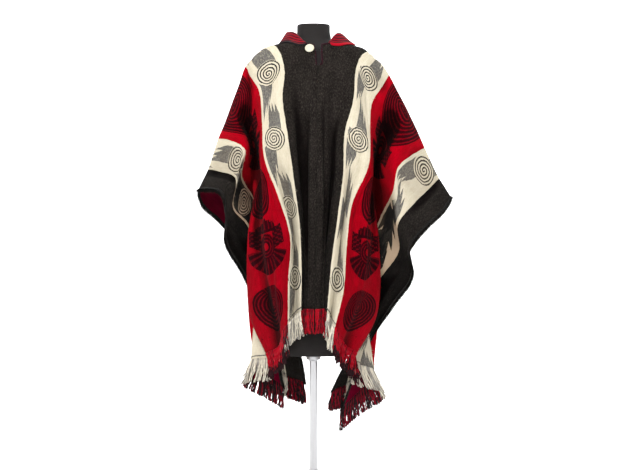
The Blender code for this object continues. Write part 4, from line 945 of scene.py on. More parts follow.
# %% The woven finish
def woven_material(name, lean, first_inner, first_outer, cuff_shade_from, yarns, reverse):
    """Stripes, spirals, toothed bands and ringed ovals, with painted shade in the folds, under the cuffs and
    lower down on the face. lean says which way u runs in the room.
    """
    made, m = new_material(name)
    flat_u, flat_v = m.flat_place()
    grain = 40.0 + 20.0 * lean

    def wool(across, along, place, detail=3.0, rough=0.5):
        """Fine noise that is stretched along the warp."""
        where = m.place(m.times(flat_u, across), m.times(flat_v, along), grain + place)
        return m.noise(where, 1.0, detail, rough)

    shake = m.less(wool(420.0, 90.0, 0.0, 2.0), 0.5)
    soft = m.less(wool(60.0, 40.0, 3.0, 2.0), 0.5)
    u = m.add(flat_u, m.add(m.times(shake, 0.0026), m.times(soft, 0.0034)))
    v = m.add(flat_v, m.add(m.times(shake, 0.0044), m.times(soft, 0.0030)))
    disc, coil_lines, band = cream_drawing(m, u, v, lean, first_inner, first_outer, reverse)
    red_lines, oval_ground, sun_ground = red_drawing(m, u, v)

    fleck = wool(620.0, 210.0, 7.0, 3.0, 0.7)
    brush = wool(240.0, 42.0, 5.0, 3.0, 0.6)
    cloud = wool(26.0, 11.0, 1.0)
    tone = m.ramp(m.add(m.times(fleck, 0.45), m.add(m.times(brush, 0.30), m.times(cloud, 0.25))), 0.38, 0.62)
    colour = {key: m.blend(tone, *pair) for key, pair in yarns.items()}
    speck = m.ramp(wool(330.0, 120.0, 11.0, 3.0, 0.8), 0.47, 0.70)

    def carded(yarn, share, fibre):
        """A yarn of the face with a share of other fibres in it. The reverse has plain yarns."""
        return m.blend(m.times(speck, 0.0 if reverse else share), colour[yarn], fibre)

    heather = carded("grey", 0.42, colour["cream"])
    ground = m.blend(m.times(band, m.ramp(fleck, 0.30, 0.46, 0.55, 1.0)), colour["cream"], heather)
    ground = m.blend(disc, ground, colour["cream"])
    ground = m.blend(coil_lines, ground, m.blend(0.70, colour["grey"], colour["border"]))
    # Painted shade: where the outer cream stripe passes under the cuff, its cream and grey are painted in
    # shaded tones.
    if not reverse:
        bands = bands_under_cuff(m, lean, u, v, m.times(band, m.unless(disc)), coil_lines)
        shaded = m.blend(bands, UNDER_CUFF_SHADE["cream"], UNDER_CUFF_SHADE["grey"])
        under = m.both(m.above(flat_u, 0.45), m.ramp(flat_v, cuff_shade_from, cuff_shade_from + 0.03))
        under = m.both(under, m.ramp(flat_v, 0.56, 0.50))
        ground = m.blend(under, ground, m.blend(m.times(tone, 0.05), shaded, ground))
    red = carded("red", 0.20, colour["line"])
    red = m.blend(m.times(oval_ground, m.ramp(brush, 0.35, 0.60, 0.34, 0.72)), red, colour["line"])
    red = m.blend(m.times(sun_ground, m.ramp(brush, 0.35, 0.60, 0.45, 0.86)), red, colour["line"])
    red = m.blend(m.times(red_lines, m.ramp(fleck, 0.32, 0.50, 0.62, 0.96)), red, colour["line"])
    black = carded("dark", 0.23, (0.125, 0.108, 0.090))
    edge = carded("border", 0.30, (0.095, 0.082, 0.070))
    # Painted shade: on the face, the red, the black border and the black centre grow darker lower down the
    # web, the border most, below the cuffs.
    if not reverse:
        red = m.blend(m.ramp(flat_v, 0.38, 0.62, 0.0, 0.30), red, colour["line"])
        edge = m.blend(m.ramp(flat_v, 0.24, 0.36, 0.0, 0.62), edge, (0.002, 0.002, 0.002))
        black = m.blend(m.ramp(flat_v, 0.30, 0.80, 0.0, 0.30), black, (0.002, 0.002, 0.002))
    shade = in_stripes(m, u, black, ground, red, ground, edge)
    # Painted shade in the folds: the deeper a point lies in a fold, the darker it is painted, towards near
    # black on the red and black stripes and towards tan on the cream ones, which take less of it.
    if not reverse:
        hollow = m.node("Attribute", attribute_name="hollow").outputs["Fac"]
        pale = m.either(m.between(u, *STRIPE_EDGES[:2]), m.between(u, *STRIPE_EDGES[2:]))
        depth = m.times(m.ramp(hollow, 0.0010, 0.0085), m.less(0.84, m.times(pale, 0.56)))
        shade = m.blend(depth, shade, m.blend(pale, (0.001, 0.0005, 0.0005), (0.10, 0.075, 0.05)))
    nap = m.add(m.times(fleck, 0.7), m.times(brush, 1.1))
    m.coat(shade, m.bump(nap, 0.65, 0.0028), 0.95, 0.02, 0.010)
    return made


woven = {}
for side, word in WORD.items():
    woven[side] = (
        woven_material("face_wool_" + word, side, *SPIRAL_ROWS[side], FACE_YARNS, False),
        woven_material("reverse_wool_" + word, side, *SPIRAL_ROWS[side], SHADED_REVERSE_YARNS, True),
    )
print("4 woven finishes")

# %% [markdown]
# ## The two webs
# Each web is a grid of points laid through the warp lines, a few millimetres apart. It is one open sheet,
# and Solidify gives it the thickness of brushed wool, with the reverse yarns on the inner face.

# %% Sheets with a wall
def spread(count, marks, pull):
    """Places from 0 to 1 that lie closer together near the marks."""
    fine = np.linspace(0.0, 1.0, 2001)
    weight = 1.0 + sum(pull * np.exp(-(((fine - mark) / 0.04) ** 2)) for mark in marks)
    total = np.concatenate([[0.0], np.cumsum((weight[1:] + weight[:-1]) / 2)])
    return np.interp(np.linspace(0.0, 1.0, count), total / total[-1], fine)


def keep_hollows(mesh, depth):
    """Stores the depth of the folds on a mesh, for its finish to paint shade in them."""
    layer = mesh.attributes.new("hollow", "FLOAT", "POINT")
    layer.data.foreach_set("value", np.asarray(depth, np.float32).reshape(-1))


def sheet_object(name, grid, flat, looks, flip, wall):
    """A grid of points as a sheet with its flat place in a UV map. A modifier waits to give it a wall."""
    rows, columns = grid.shape[:2]
    first = np.arange(rows * columns).reshape(rows, columns)
    corners = (first[:-1, :-1], first[:-1, 1:], first[1:, 1:], first[1:, :-1])
    faces = np.stack(corners[::-1] if flip else corners, axis=-1).reshape(-1, 4).tolist()
    thing = mesh_object(name, grid.reshape(-1, 3), faces, looks, np.stack(flat, axis=-1).reshape(-1, 2))
    shell = thing.modifiers.new("wall", "SOLIDIFY")
    shell.thickness = wall
    shell.offset = 0.0
    shell.use_even_offset = False
    shell.use_rim = True
    shell.material_offset = len(looks) - 1
    return thing


# %% Weave the webs
WEB_COLUMNS, WEB_ROWS = 148, 268
FOLD_MARKS = (0.030, 0.072, 0.120, 0.180, 0.235, 0.300, 0.430, 0.495, 0.660)


def build_web(side):
    share = spread(WEB_COLUMNS, [mark / WEB_WIDTH for mark in FOLD_MARKS], 0.8)
    v = np.concatenate([-HALF_LENGTH * spread(WEB_ROWS // 2, [0.0], 1.5)[:0:-1],
                        HALF_LENGTH * spread(WEB_ROWS // 2, [0.0, 0.12], 1.5)])
    v = np.sort(np.unique(np.concatenate([v, [-NECK_BACK, NECK_FRONT]])))
    start = neck_edge(side, v)
    u = start[:, None] + share[None, :] * (WEB_WIDTH - start[:, None])
    grid = web_grid(side, u, v)
    down = np.repeat(v[:, None], u.shape[1], axis=1)
    # Rows run from back to front and columns away from the seam, so the left web needs its corners in the
    # other order for its outer face to face out.
    web = sheet_object("web_cloth_" + WORD[side], grid, (u, down), woven[side], side > 0, WALL)
    keep_hollows(web.data, hollow_depth(grid, side))
    finish_modifiers(web)
    settle(web, WEB_SLOT[side], "web_" + WORD[side])
    return web


webs = {side: build_web(side) for side in WORD}

# %% [markdown]
# ## Fringes
# The fringe is the warp itself, left long below the last weft and twisted into yarns. A yarn leaves the
# hem the way the cloth hangs, then gravity turns it down, and neighbours lean together in small tufts.
# Each yarn is a thin four-sided tube. Its place along the hem goes into the UV map, so it takes the
# colour of the stripe that it grows from.

# %% Yarn colours
def yarn_material(name):
    made, m = new_material(name)
    u, along = m.flat_place()
    pick = m.part(m.times(m.do("FLOOR", m.add(m.times(u, 2000.0), 0.5)), 0.618))
    strand = m.noise(m.place(m.times(u, 1500.0), m.times(along, 14.0)), 1.0, 1.0)
    cream = m.blend(m.above(pick, 0.74), (0.72, 0.66, 0.54), (0.30, 0.28, 0.25))
    cream = m.blend(m.times(strand, 0.30), cream, (0.36, 0.33, 0.28))
    bright = m.blend(m.above(pick, 0.58), (0.34, 0.000, 0.009), (0.085, 0.001, 0.005))
    tips = m.blend(m.above(m.add(along, m.times(pick, 0.6)), 0.90), bright, (0.022, 0.004, 0.006))
    deep = m.blend(m.above(pick, 0.40), (0.17, 0.001, 0.010), (0.014, 0.005, 0.006))
    m.coat(in_stripes(m, u, bright, cream, tips, cream, deep), m.bump(strand, 0.6, 0.001), 0.9, 0.1, 0.03)
    return made


yarn_look = yarn_material("fringe_yarn")

# %% Sizes of the fringes
FRINGE_LENGTH = 0.080
YARNS_A_HEM = {"front": 660, "back": 880}
YARN_RADIUS = {"front": 0.00185, "back": 0.0023}
LOCK_YARNS = {"front": 6, "back": 12}
LOCK_GATHER = {"front": 0.5, "back": 0.3}
YARN_STEPS = 9
YARN_SIDES = 4
YARN_CURL = 0.0019
YARN_LAYERS = (0.0018, -0.0018, 0.0)
LOCK_SWING = {"front": (0.0065, 0.0030), "back": (0.0052, 0.0052)}
BORDER_YARNS_FROM = 0.600
FLARE = {-1: 0.026, 1: 0.030}
print(2 * sum(YARNS_A_HEM.values()), "yarns of", FRINGE_LENGTH, "m")


# %% Tubes along paths
def tubes(paths, radii, sides, turn=0.0):
    """Corners and faces of one closed tube along each path, all with the same number of steps."""
    paths = np.asarray(paths, float)
    along = unit(np.gradient(paths, axis=1))
    first = unit(np.cross(along, np.array([0.31, 0.90, 0.30])))
    second = np.cross(along, first)
    count, steps = paths.shape[:2]
    spin = 2 * math.pi * np.arange(sides) / sides
    spin = spin[None, None, :] + turn * np.arange(steps)[None, :, None]
    ring = first[:, :, None, :] * np.cos(spin)[..., None] + second[:, :, None, :] * np.sin(spin)[..., None]
    corners = paths[:, :, None, :] + ring * np.asarray(radii)[:, :, None, None]
    faces = []
    for base in range(0, count * steps * sides, steps * sides):
        faces += ring_faces(steps, sides, base, rising=True)
        faces.append(tuple(range(base, base + sides))[::-1])
        faces.append(tuple(range(base + (steps - 1) * sides, base + steps * sides)))
    return corners.reshape(-1, 3), faces


# %% Hang the fringes
def build_fringe(side, end, seed):
    """One hem's yarns: each hangs from the last weft, leans with its lock and twists round its own path."""
    chance = np.random.default_rng(seed)
    sign = 1 if end == "front" else -1
    count = YARNS_A_HEM[end]
    u = (np.arange(count) + chance.uniform(0.2, 0.8, count)) / count
    u = np.interp(np.clip(u, 0.004, 0.996), (0.0, 0.70, 1.0), (0.0, 0.603, WEB_WIDTH))
    rows = np.array([HALF_LENGTH - 0.03, HALF_LENGTH - 0.002, HALF_LENGTH]) * sign
    order = np.argsort(rows)
    grid = web_grid(side, np.repeat(u[None, :], 3, axis=0), rows[order])[np.argsort(order)]
    fall = unit(grid[2] - grid[0])
    over = unit(np.gradient(grid[2], axis=0))
    out = unit(np.cross(fall, over))
    lock_yarns = LOCK_YARNS[end]
    knot = chance.normal(0.0, 1.0, (count // lock_yarns + 2, 2))
    lock = (np.arange(count) + chance.integers(0, 2, count)) // lock_yarns
    loose = np.where(u < BORDER_YARNS_FROM, *LOCK_SWING[end])
    lean_over = loose * knot[lock, 0] + chance.normal(0.0, 0.0026, count)
    lean_out = loose * knot[lock, 1] + chance.normal(0.0, 0.0030, count)
    length = FRINGE_LENGTH * chance.uniform(0.93, 1.02, count)
    if end == "back":
        length = length * (1.0 - 0.09 * np.minimum(np.abs(knot[lock, 0]), 2.0))
    lock_middle = np.interp((lock + 0.5) * lock_yarns, np.arange(count), u)
    gather = (lock_middle - u) * LOCK_GATHER[end]
    flare = np.interp(u, (0.44, 0.53, 0.62, 0.66), (0.0, 1.0, 1.0, 0.3)) * (1.0 if end == "front" else 0.0)
    start = chance.uniform(0.0, 2 * math.pi, count)
    turns = chance.uniform(1.1, 2.3, count)
    layer = np.array(YARN_LAYERS)[np.arange(count) % len(YARN_LAYERS)]
    paths = []
    for step in range(YARN_STEPS):
        part = step / (YARN_STEPS - 1)
        way = fall * part * (1 - 0.50 * part) + np.array([0.0, 0.0, -1.0]) * (0.50 * part * part)
        curl = YARN_CURL * min(1.0, 2.2 * part)
        phase = start + turns * 2 * math.pi * part
        place = grid[1] + way * length[:, None] + out * layer[:, None]
        place = place + over * (lean_over * part**1.4 + gather * part + curl * np.sin(phase))[:, None]
        place = place + out * (lean_out * part**1.4 + curl * np.cos(phase))[:, None]
        place[:, 0] += side * FLARE[side] * flare * part**1.2
        paths.append(place)
    paths = np.array(paths).transpose(1, 0, 2)
    parts = np.linspace(0.0, 1.0, YARN_STEPS)
    beads = 1.0 + 0.16 * np.sin(2.3 * np.arange(YARN_STEPS)[None, :] + start[:, None])
    radii = YARN_RADIUS[end] * (1.0 - 0.30 * parts[None, :] ** 3) * beads
    corners, faces = tubes(paths, radii, YARN_SIDES, 0.8)
    flat = np.empty((count, YARN_STEPS, YARN_SIDES, 2))
    flat[..., 0] = u[:, None, None]
    flat[..., 1] = parts[None, :, None]
    place_name = end + "_" + WORD[side]
    thing = mesh_object("yarns_" + place_name, corners, faces, (yarn_look,), flat.reshape(-1, 2))
    settle(thing, "fringe_yarn", "fringe_" + place_name)
    return thing


for seed, (side, end) in enumerate(((-1, "front"), (1, "front"), (-1, "back"), (1, "back")), 11):
    build_fringe(side, end, seed)

# %% [markdown]
# ## Selvedges
# The outer edge of each web is woven round a doubled warp, so it is rounder and stiffer than the cloth. A
# thin black tube along the edge line gives it that roll, and the nap below stands out from it.

# %% Roll the selvedges
SELVEDGE_RADIUS = 0.0040

selvedge_wool, m = new_material("selvedge_wool")
fuzz = m.noise(m.object_place(), 420.0, 4.0, 0.75)
shade = m.blend(m.ramp(fuzz, 0.40, 0.66), (0.003, 0.0028, 0.0026), (0.026, 0.024, 0.022))
m.coat(shade, m.bump(fuzz, 0.9, 0.003), 0.95, 0.03, 0.05)


def build_selvedge(side):
    v = np.linspace(-HALF_LENGTH + 0.002, HALF_LENGTH - 0.002, 420)
    near_edge = WEB_WIDTH - 0.0014 + np.array([-0.002, 0.0, 0.0014])
    path = web_grid(side, np.repeat(near_edge[None, :], len(v), axis=0), v)[:, 1]
    beads = 1.0 + 0.12 * np.sin(1.9 * np.arange(len(v))) + 0.14 * np.sin(0.37 * np.arange(len(v)))
    corners, faces = tubes([path], [SELVEDGE_RADIUS * beads], 8)
    thing = mesh_object("selvedge_" + WORD[side], corners, faces, (selvedge_wool,))
    settle(thing, WEB_SLOT[side])
    return thing


selvedges = {side: build_selvedge(side) for side in WORD}

# %% [markdown]
# ## The raised nap
# Brushing the cloth pulls fibre ends out of the yarns. They lie down the cloth, stand up a little, and
# make the soft halo along every edge. Each is one thin triangle; its root's flat place gives it the
# colour of the yarn that it comes from. The selvedges, which rub most, get a second and longer row.

# %% Brush the nap
NAP_FIBRES = 44000
EDGE_FIBRES = 28000
NAP_HALF_WIDE = 0.00034
EDGE_HALF_WIDE = 0.00072
NAP_LENGTHS = (0.005, 0.011)
EDGE_LENGTHS = (0.007, 0.020)
FACE_SHARE = 0.72
print(2 * (NAP_FIBRES + EDGE_FIBRES), "fibres")


def build_nap(side, seed):
    chance = np.random.default_rng(seed)
    back, neck = np.linspace(-HALF_LENGTH, -0.09, 150), np.linspace(-0.088, 0.16, 60)
    v = np.concatenate([back, neck, np.linspace(0.165, HALF_LENGTH, 150)])
    share = np.linspace(0.0, 1.0, 150)
    start = neck_edge(side, v)
    u = start[:, None] + share[None, :] * (WEB_WIDTH - start[:, None])
    grid = web_grid(side, u, v)
    out = outward(grid, side)
    down = unit(np.gradient(grid, axis=0))
    across = unit(np.gradient(grid, axis=1))
    row = np.interp(chance.uniform(-HALF_LENGTH, HALF_LENGTH, NAP_FIBRES), v, np.arange(len(v)))
    column = chance.uniform(0.0, len(share) - 1.001, NAP_FIBRES)
    edge_row = np.interp(chance.uniform(-HALF_LENGTH, HALF_LENGTH, EDGE_FIBRES), v, np.arange(len(v)))
    edge_column = len(share) - 1.001 - np.abs(chance.normal(0.0, 0.35, EDGE_FIBRES))
    row = np.concatenate([row, edge_row])
    column = np.concatenate([column, edge_column])
    count = len(row)
    near_row = np.clip(row.astype(int), 0, len(v) - 2)
    near_column = np.clip(column.astype(int), 0, len(share) - 2)
    a = (row - near_row)[:, None]
    b = (column - near_column)[:, None]

    def between(field):
        field = field if field.ndim == 3 else field[:, :, None]
        first = field[near_row, near_column] * (1 - b) + field[near_row, near_column + 1] * b
        last = field[near_row + 1, near_column] * (1 - b) + field[near_row + 1, near_column + 1] * b
        return first * (1 - a) + last * a

    face = np.where(chance.random(count) < FACE_SHARE, 1.0, -1.0)[:, None]
    root, way_out = between(grid), unit(between(out)) * face
    lie = unit(between(down)) * np.where(row < np.interp(0.0, v, np.arange(len(v))), -1.0, 1.0)[:, None]
    aside = unit(between(across))
    at_edge = np.arange(count) >= NAP_FIBRES
    length = np.where(at_edge, chance.uniform(*EDGE_LENGTHS, count), chance.uniform(*NAP_LENGTHS, count))
    rise = np.where(at_edge, chance.normal(0.0, 0.45, count), chance.uniform(0.10, 0.55, count))
    stray = np.where(at_edge, chance.uniform(0.4, 1.5, count), chance.normal(0.0, 0.40, count))
    way = unit(lie * 0.75 + way_out * rise[:, None] + aside * stray[:, None])
    root = root + way_out * (WALL / 2 - 0.0002)
    half_wide = np.where(at_edge, EDGE_HALF_WIDE, NAP_HALF_WIDE)[:, None]
    wide = unit(np.cross(way, way_out + 0.4 * aside)) * half_wide
    corners = np.stack([root - wide, root + wide, root + way * length[:, None]], axis=1).reshape(-1, 3)
    flat = np.concatenate([between(u), between(np.repeat(v[:, None], len(share), axis=1))], axis=1)
    flat = np.repeat(flat, 3, axis=0)
    faces = [(3 * i, 3 * i + 1, 3 * i + 2) for i in range(count)]
    thing = mesh_object("nap_" + WORD[side], corners, faces, woven[side][:1], flat)
    # The fibres carry the fold depth too, so they take the same painted shade in the folds as the cloth.
    keep_hollows(thing.data, np.repeat(between(hollow_depth(grid, side))[:, 0], 3))
    settle(thing, WEB_SLOT[side])
    return thing


naps = {-1: build_nap(-1, 31), 1: build_nap(1, 32)}

# %% [markdown]
# ## Collar
# A small turned collar is a strip sewn to the neck edge: it stands up inside, folds over, and falls on
# the shoulders. Its rows of points follow the neck edge at the bottom, rise by the height of the stand,
# and the rest is read off the cloth below, a little way out from it, so the fall lies on the shoulders.

# %% Table of the collar: name, v of the neck edge, rise of the stand, u and v of the free edge
COLLAR = (
    ("front_end", 0.074, 0.005, 0.034, 0.080),
    ("front", 0.062, 0.012, 0.052, 0.070),
    ("front_side", 0.036, 0.029, 0.078, 0.046),
    ("side", 0.000, 0.034, 0.088, 0.000),
    ("back_side", -0.050, 0.033, 0.072, -0.086),
    ("back", -0.085, 0.032, 0.000, -0.128),
)
COLLAR_FALL_LEFT = 0.72
COLLAR_FALL_FADE = 0.035
COLLAR_RISE_LEFT = ((-0.085, -0.050, 0.000, 0.036, 0.062, 0.074), (1.00, 0.56, 0.24, 1.02, 1.70, 1.20))
COLLAR_WALL = 0.0026
COLLAR_LIFT = 0.0052
COLLAR_STEPS = 44
COLLAR_STAND_PARTS = (0.0, 0.25, 0.5, 0.75, 0.92)
COLLAR_FALL_ROWS = 11
COLLAR_LENGTH_ROW = 8
print("collar in", len(COLLAR), "rows")


# %% Points of one half of the collar
def cloth_at(side, u, v):
    """Single points of the worn cloth with the way out, for things that lie on it."""
    u = np.asarray(u, float)
    v = np.asarray(v, float)
    spots = np.empty((len(u), 3))
    ways = np.empty((len(u), 3))
    for index in range(len(u)):
        us = np.array([max(u[index] - 0.002, 0.0), u[index], u[index] + 0.002])
        vs = np.array([v[index] - 0.002, v[index], v[index] + 0.002])
        patch = bare_cloth(side, np.repeat(us[None, :], 3, axis=0), vs)
        patch = off_the_form(patch.reshape(-1, 3), WALL / 2 + FORM_CLEAR).reshape(3, 3, 3)
        spots[index] = patch[1, 1]
        ways[index] = unit(np.cross(patch[2, 1] - patch[0, 1], patch[1, 2] - patch[1, 0]) * side)
    return spots, ways


def collar_points(side):
    table = np.array([row[1:] for row in COLLAR])
    v = np.interp(np.linspace(0, len(table) - 1, COLLAR_STEPS), np.arange(len(table)), table[:, 0])
    rise, fall_u, fall_v = spline(-table[:, 0], table[:, 1:], -v).T
    fall_u = np.maximum(fall_u, 0.0)
    edge_u = neck_edge(side, v)
    if side > 0:
        rise = rise * np.interp(v, *COLLAR_RISE_LEFT)
        behind = 1.0 + (COLLAR_FALL_LEFT - 1.0) * (v + NECK_BACK) / COLLAR_FALL_FADE
        share = np.where(v > COLLAR_FALL_FADE - NECK_BACK, COLLAR_FALL_LEFT, behind)
        fall_u = edge_u + (fall_u - edge_u) * share
    edge, _ = cloth_at(side, edge_u, v)
    edge[-1, 0] = seam_x(v[-1:])[0]
    run = np.gradient(edge, axis=0)
    run[-1] = np.array([1.0, 0.0, 0.0]) * -side
    inward = unit(np.column_stack([run[:, 1], -run[:, 0], np.zeros(len(v))]) * -side)
    up = np.array([0.0, 0.0, 1.0])
    rows = [edge + inward * (0.0042 - 0.001 * part) + up * (rise[:, None] * part - 0.0002)
            for part in COLLAR_STAND_PARTS]
    rows.append(edge + inward * 0.0020 + up * rise[:, None] * 1.02)
    for part in np.linspace(0.0, 1.0, COLLAR_FALL_ROWS):
        u = edge_u + (fall_u - edge_u) * part
        down = v + (fall_v - v) * part
        spot, out = cloth_at(side, u, down)
        height = COLLAR_LIFT + np.maximum(rise - 0.002, 0.0) * (1 - part) ** 1.6
        lift = out * height[:, None] * part + up * height[:, None] * (1 - part)
        place = spot + lift
        if part == 0.0:
            place = edge - inward * 0.0022 + up * rise[:, None] * 1.0
        place[-1, 0] = seam_x(v[-1:])[0]
        rows.append(place)
    return np.array(rows).transpose(1, 0, 2)


# %% Points of the whole collar, and its flat size
right = collar_points(-1)
left = collar_points(1)
right[-1] = (right[-1] + left[-1]) / 2
grid = np.concatenate([right, left[-2::-1]])
grid = off_the_form(grid.reshape(-1, 3), COLLAR_WALL / 2 + FORM_CLEAR).reshape(grid.shape)
length_row = grid[:, COLLAR_LENGTH_ROW]
step_along = np.concatenate([[0.0], np.cumsum(np.linalg.norm(np.diff(length_row, axis=0), axis=1))])
steps_down = np.linalg.norm(np.diff(grid, axis=1), axis=2)
cut_v = np.concatenate([np.zeros((len(grid), 1)), np.cumsum(steps_down, axis=1)], axis=1)
COLLAR_DOWN = float(cut_v[:, -1].max())
cut_v = cut_v + (COLLAR_DOWN - cut_v[:, -1:])
cut_u = np.repeat(step_along[:, None], grid.shape[1], axis=1)

# %% Collar wool: ribs of red and near black, a dark hem, and on the left half a painted highlight along the free edge with a painted shadow line just inside it
COLLAR_RIB = 0.0098
COLLAR_HEM = 0.0065
COLLAR_LINE = 0.0120
# Widths of the painted highlight along the left half's free edge, and of the painted shadow line that reaches
# just past it.
LEFT_HIGHLIGHT = 0.0105
LEFT_SHADOW_LINE = 0.0145

collar_wool, m = new_material("collar_wool")
along, down = m.flat_place()
fleck = m.noise(m.place(m.times(along, 700.0), m.times(down, 260.0)), 1.0, 3.0, 0.7)
wave = m.times(m.do("SINE", m.times(along, 52.0)), 0.0012)
rib_place = m.add(m.add(down, wave), m.times(m.less(fleck, 0.5), 0.003))
rib = m.above(m.part(m.over(rib_place, COLLAR_RIB)), 0.42)
line = m.below(m.size(m.less(down, COLLAR_DOWN - COLLAR_LINE)), 0.0012)
hem = m.either(m.above(down, COLLAR_DOWN - COLLAR_HEM), line)
left_half = m.above(along, float(step_along[-1]) / 2)
# Painted light on the left half: a bright red band along the free edge stands in for the lit face of the
# turned-down leaf, and the dark band just inside it for the shadow line where the leaf turns.
lit_rim = m.both(left_half, m.above(down, COLLAR_DOWN - LEFT_HIGHLIGHT))
hem = m.either(hem, m.both(left_half, m.above(down, COLLAR_DOWN - LEFT_SHADOW_LINE)))
red = m.blend(fleck, (0.13, 0.0, 0.004), (0.34, 0.000, 0.011))
red = m.blend(m.times(rib, 0.88), red, (0.016, 0.003, 0.006))
# Painted highlight: the brighter red of the lit band on the left half.
bright = m.blend(fleck, (0.20, 0.0, 0.005), (0.42, 0.000, 0.012))
shade = m.blend(lit_rim, m.blend(hem, red, (0.012, 0.010, 0.010)), bright)
m.coat(shade, m.bump(fleck, 0.6, 0.002), 0.95, 0.1, 0.03)

# %% Sew on the collar
collar = sheet_object("collar_cloth", grid, (cut_u, cut_v), (collar_wool,), False, COLLAR_WALL)
finish_modifiers(collar)
settle(collar, "collar_cloth", "collar")

# %% [markdown]
# ## Slit edges, button and loop
# The edges of the slit are turned and bound with a dark red yarn so that they don't ravel. A bone-white
# button is sewn to one edge, on a short shank, and a doubled black cord from the other edge goes round
# the shank. A button is turned on a lathe, and so is this one: a single corner is extruded along half the
# outline, and Spin carries the outline round its axis. A cylinder with loops cut into it could do as well,
# but the outline shows every size at once. It is turned upright at the origin and then set on the cloth.

# %% Bind the slit
def simple_yarn(name, deep, light, scale):
    made, m = new_material(name)
    twist = m.noise(m.scaled(m.object_place(), scale, scale, scale * 0.4), 1.0, 2.0, 0.6)
    m.coat(m.blend(m.ramp(twist, 0.38, 0.62), deep, light), m.bump(twist, 0.6, 0.001), 0.9, 0.1, 0.04)
    return made


binding_look = simple_yarn("binding_yarn", (0.004, 0.002, 0.003), (0.026, 0.004, 0.008), 420.0)
cord_look = simple_yarn("black_cord", (0.006, 0.006, 0.006), (0.030, 0.028, 0.028), 900.0)
BINDING_RADIUS = {-1: 0.0022, 1: 0.0034}


def build_binding(side):
    """A rolled edge from the neck to the foot of the slit, with a stitch every few millimetres."""
    v = np.linspace(0.072, SLIT_END - 0.004, 64)
    spots, ways = cloth_at(side, neck_edge(side, v) + 0.0006, v)
    path = spots + ways * 0.0006
    beads = 1.0 + 0.22 * (np.arange(len(v)) % 2)
    corners, faces = tubes([path], [BINDING_RADIUS[side] * beads], 10)
    settle(mesh_object("slit_edge_" + WORD[side], corners, faces, (binding_look,)), "loop_yarn")


for side in WORD:
    build_binding(side)

# %% Bone of the button
BUTTON_U = 0.0200 - 0.4 * SLIT_GAPE[-1]
BUTTON_V = 0.102
BUTTON_RADIUS = 0.015
BUTTON_THICK = 0.0052
SHANK_RADIUS = 0.0030
SHANK_LENGTH = 0.0034

bone, m = new_material("button_bone")
where = m.object_place()
streak = m.noise(m.scaled(where, 60.0, 240.0, 40.0), 1.0, 3.0, 0.6)
shade = m.blend(streak, (0.47, 0.435, 0.305), (0.57, 0.54, 0.42))
m.coat(shade, m.bump(m.noise(where, 800.0, 2.0), 0.05, 0.0004), 0.32)


# %% Turned pieces
def turned_piece(name, profile, sides, look):
    """A closed round piece. One corner is extruded along (radius, height) rows, which are then spun."""
    bpy.ops.object.select_all(action="DESELECT")
    bpy.ops.mesh.primitive_plane_add(size=0.01, calc_uvs=False, location=(0.0, 0.0, 0.0))
    thing = bpy.context.object
    thing.name = thing.data.name = name
    thing.data.materials.append(look)
    bpy.ops.object.mode_set(mode="EDIT")
    bpy.ops.mesh.select_all(action="SELECT")
    bpy.ops.mesh.merge(type="CENTER")
    bpy.ops.transform.translate(value=(profile[0][0], 0.0, profile[0][1]))
    for here, after in zip(profile, profile[1:]):
        step = (after[0] - here[0], 0.0, after[1] - here[1])
        bpy.ops.mesh.extrude_region_move(TRANSFORM_OT_translate={"value": step})
    bpy.ops.mesh.select_all(action="SELECT")
    bpy.ops.mesh.spin(steps=sides, angle=2 * math.pi, center=(0.0, 0.0, 0.0), axis=(0.0, 0.0, 1.0))
    bpy.ops.mesh.select_all(action="SELECT")
    bpy.ops.mesh.remove_doubles(threshold=0.00001)
    bpy.ops.mesh.normals_make_consistent(inside=False)
    bpy.ops.object.mode_set(mode="OBJECT")
    bpy.ops.object.shade_smooth()
    return thing


def round_profile(rows):
    """The same profile with every inner corner rounded by a short curve."""
    rows = [np.array(row, float) for row in rows]
    made = [rows[0]]
    for before, here, after in zip(rows, rows[1:], rows[2:]):
        cut_in = min(0.0008, 0.3 * np.linalg.norm(before - here), 0.3 * np.linalg.norm(after - here))
        first = here + unit(before - here) * cut_in
        last = here + unit(after - here) * cut_in
        for part in np.linspace(0.0, 1.0, 4):
            made.append(first * (1 - part) ** 2 + here * 2 * part * (1 - part) + last * part**2)
    made.append(rows[-1])
    return [tuple(row) for row in made]


# %% Sew on the button
(button_spot,), (button_out,) = cloth_at(-1, [BUTTON_U], [BUTTON_V])
button_x = unit(np.cross([0.0, 0.0, 1.0], button_out))
button_y = np.cross(button_out, button_x)
r, t, stem = BUTTON_RADIUS, BUTTON_THICK, SHANK_LENGTH
button_rows = (
    (0.0, stem + t * 0.60), (r * 0.50, stem + t * 0.60), (r * 0.70, stem + t), (r * 0.93, stem + t * 0.96),
    (r, stem + t * 0.60), (r * 0.94, stem + t * 0.12), (r * 0.80, stem), (SHANK_RADIUS, stem),
    (SHANK_RADIUS, 0.0), (0.0, 0.0),
)
button = turned_piece("bone_button", round_profile(button_rows), 64, bone)
button_foot = button_spot + button_out * (WALL / 2 + 0.0004)
button.matrix_world = Matrix(np.column_stack([button_x, button_y, button_out, button_foot])).to_4x4()
bpy.ops.object.transform_apply(location=True, rotation=True, scale=True)
settle(button, "button_face", "button")

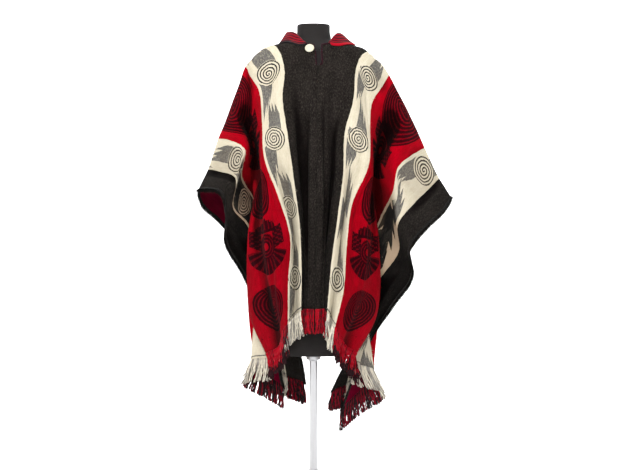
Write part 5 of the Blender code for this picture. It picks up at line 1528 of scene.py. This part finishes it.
# %% Loop of doubled cord
CORD_RADIUS = 0.0011
ring = SHANK_RADIUS + CORD_RADIUS + 0.0005
over = button_x if button_x[0] > 0 else -button_x
centre = button_spot + button_out * (WALL / 2 + 0.0021)
(anchor,), (anchor_out,) = cloth_at(1, [0.006], [BUTTON_V + 0.002])
anchor = anchor + anchor_out * (WALL / 2 + 0.0016)
path = [anchor + button_y * ring * (1 - 0.02 * k) + (centre - anchor) * k / 10 for k in range(9)]
for step in range(15):
    turn = math.pi / 2 + math.pi * step / 14
    path.append(centre + over * math.cos(turn) * ring + button_y * math.sin(turn) * ring)
path += [anchor - button_y * ring * (1 - 0.02 * k) + (centre - anchor) * k / 10 for k in range(8, -1, -1)]
path = np.array(path)
twist = 1.0 + 0.14 * np.sin(2.4 * np.arange(len(path)))
corners, faces = tubes([path], [CORD_RADIUS * twist], 10)
settle(mesh_object("cord_loop", corners, faces, (cord_look,)), "loop_yarn", "loop_cord")

# %% [markdown]
# ## The stand
# The form stands on a plain steel tube with a round foot. The tube is drawn and the foot is spun, so fine
# lines run along the one and round the other, under a satin lacquer. Both are round, so both are made
# from half an outline, as the button is, where they stand.

# %% Stand
def satin_steel(name, round_lines):
    made, m = new_material(name)
    where = m.object_place()
    if round_lines:
        x, y, z = m.split(where)
        lines = m.noise(m.place(m.times(m.far(x, y), 1400.0), 0.0, m.times(z, 900.0)), 1.0, 2.0)
    else:
        lines = m.noise(m.scaled(where, 1600.0, 1600.0, 12.0), 1.0, 2.0)
    shade = m.blend(lines, (0.42, 0.42, 0.43), (0.54, 0.54, 0.55))
    m.coat(shade, m.bump(lines, 0.12, 0.0002), 0.34, metal=0.9)
    return made


POLE_RADIUS = 0.0140
BASE_RADIUS = 0.160
BASE_THICK = 0.012
top = BASE_THICK
base_rows = (
    (0.0, top), (BASE_RADIUS * 0.30, top), (BASE_RADIUS - 0.006, top - 0.002), (BASE_RADIUS, top - 0.006),
    (BASE_RADIUS, 0.002), (BASE_RADIUS - 0.002, 0.0), (0.0, 0.0),
)
low, high = top + 0.0003, FORM[-1][1] - 0.0003
pole_rows = (
    (0.0, high), (0.024, high), (0.024, high - 0.016), (POLE_RADIUS, high - 0.022),
    (POLE_RADIUS, low + 0.030), (0.020, low + 0.024), (0.022, low), (0.0, low),
)
foot = turned_piece("stand_foot", round_profile(base_rows), 128, satin_steel("spun_steel", True))
settle(foot, "stand_metal", "base_plate")
pole = turned_piece("stand_tube", round_profile(pole_rows), 64, satin_steel("drawn_steel", False))
settle(pole, "stand_metal", "pole")
